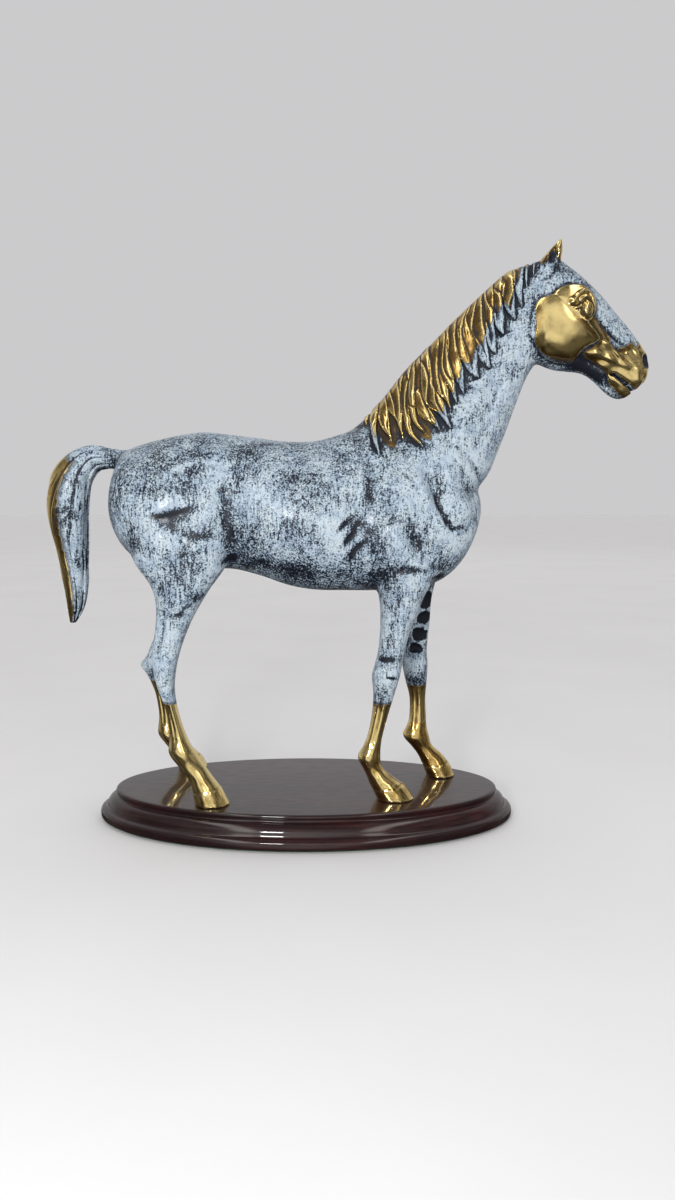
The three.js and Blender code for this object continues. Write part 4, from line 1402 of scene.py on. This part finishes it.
castings(bronze_finish())
plinth(mahogany_finish())
carried_over("plinth_felt", baize_finish())
steel = steel_finish()
for leg in LEGS:
    for fixing in ("stud", "washer", "nut"):
        carried_over(f"{leg}_{fixing}", steel)


# ---------------------------------------------------------------- studio


def studio_floor():
    """A round pale floor, wide enough to meet the backdrop far from the object."""
    count = 96
    radii = (0.5, 1, 2, 4, 8)
    turns = np.arange(count) * 2 * math.pi / count
    points = [(0, 0, 0)]
    for radius in radii:
        points += [(radius * math.cos(t), radius * math.sin(t), 0) for t in turns]
    faces = [(0, 1 + k, 1 + (k + 1) % count) for k in range(count)]
    for start in range(1, 1 + count * (len(radii) - 1), count):
        for k in range(count):
            a, b = start + k, start + (k + 1) % count
            faces.append((a, a + count, b + count, b))
    mesh = bpy.data.meshes.new("studio_floor")
    mesh.from_pydata(points, [], faces)
    mesh.materials.append(floor_finish())
    floor = bpy.data.objects.new("studio_floor", mesh)
    floor.visible_glossy = False
    bpy.context.scene.collection.objects.link(floor)


def soft_light(name, at, towards, size, power, mirrored=False):
    """A square lamp; only a mirrored one shows in reflections."""
    light = bpy.data.lights.new(name, "AREA")
    light.size = size
    light.energy = power
    lamp = bpy.data.objects.new(name, light)
    lamp.location = at
    lamp.rotation_euler = (Vector(towards) - Vector(at)).to_track_quat("-Z", "Y").to_euler()
    lamp.visible_glossy = mirrored
    bpy.context.scene.collection.objects.link(lamp)


def ceiling_light(strength):
    """Even light from above, so broad that it casts hardly any shadow."""
    light = bpy.data.lights.new("ceiling", "SUN")
    light.angle = math.radians(110)
    light.energy = strength
    lamp = bpy.data.objects.new("ceiling", light)
    lamp.visible_glossy = False
    bpy.context.scene.collection.objects.link(lamp)


def backdrop():
    """A pale wall behind, a dim room with one bright window in front, and a dark table below."""
    world = bpy.data.worlds.new("studio")
    s = Shader(world, "Background")
    direction = s.nodes.new("ShaderNodeTexCoord").outputs["Generated"]
    split = s.nodes.new("ShaderNodeSeparateXYZ")
    s.put(direction, split.inputs[0])
    rays = s.nodes.new("ShaderNodeLightPath").outputs
    towards = s.nodes.new("ShaderNodeVectorMath")
    towards.operation = "DOT_PRODUCT"
    s.put(direction, towards.inputs[0])
    towards.inputs[1].default_value = Vector((-0.08, -0.99, -0.04)).normalized()
    window = s.between(0.85, 0.96, towards.outputs["Value"])
    clutter = s.nodes.new("ShaderNodeTexNoise")
    clutter.inputs["Scale"].default_value = 2.6
    s.put(direction, clutter.inputs["Vector"])
    things = s.between(0.4, 0.62, clutter.outputs[0])
    # Two narrow lit gaps overhead draw thin lines of light along the locks.
    gap = s.maths("ABSOLUTE", s.total(s.maths("ABSOLUTE", split.outputs["X"]), (1.0, -0.34)))
    gap = s.maths("MULTIPLY", s.between(0.1, 0.02, gap), s.between(0.1, 0.3, split.outputs["Z"]))
    gap = s.maths("MULTIPLY", gap, rays["Is Glossy Ray"])
    wall = (0.6, 0.595, 0.605)
    room = s.blend(things, (0.03, 0.028, 0.026), (0.34, 0.32, 0.3))
    room = s.blend(gap, room, (3.6, 3.5, 3.3))
    room = s.blend(s.between(-0.15, 0.5, split.outputs["Y"]), room, wall)
    table = s.blend(things, (0.04, 0.038, 0.036), (0.13, 0.12, 0.105))
    room = s.blend(s.between(-0.05, -0.3, split.outputs["Z"]), room, table)
    window = s.maths("MULTIPLY", window, s.between(0.3, 0.55, clutter.outputs[0], 0.4, 1.0))
    room = s.blend(window, room, (1.0, 0.98, 0.95))
    s.set(Color=s.blend(rays["Is Camera Ray"], room, wall))
    bpy.context.scene.world = world


def studio():
    """The floor, the lights round the middle of the horse, and the walls."""
    studio_floor()
    middle = (0.02, 0, 0.2)
    soft_light("key", (-0.15, -0.66, 0.27), middle, size=0.09, power=1.7, mirrored=True)
    soft_light("front", (-0.1, -1.5, 0.6), middle, size=0.8, power=5)
    soft_light("fill", (0.9, -0.9, 0.5), middle, size=0.9, power=2)
    soft_light("back", (0.35, 2.2, 1.7), middle, size=1.5, power=3)
    ceiling_light(strength=1.11)
    backdrop()
    bpy.context.scene.view_settings.view_transform = "Standard"


def camera():
    """Level with the horse's back, square to its right side and tilted slightly down."""
    lens = bpy.data.cameras.new("camera")
    lens.lens = 26.1
    viewer = bpy.data.objects.new("camera", lens)
    viewer.location = (0.020, -0.542, 0.205)
    viewer.rotation_euler = (math.radians(83), 0, 0)
    bpy.context.scene.collection.objects.link(viewer)
    bpy.context.scene.camera = viewer


studio()
camera()
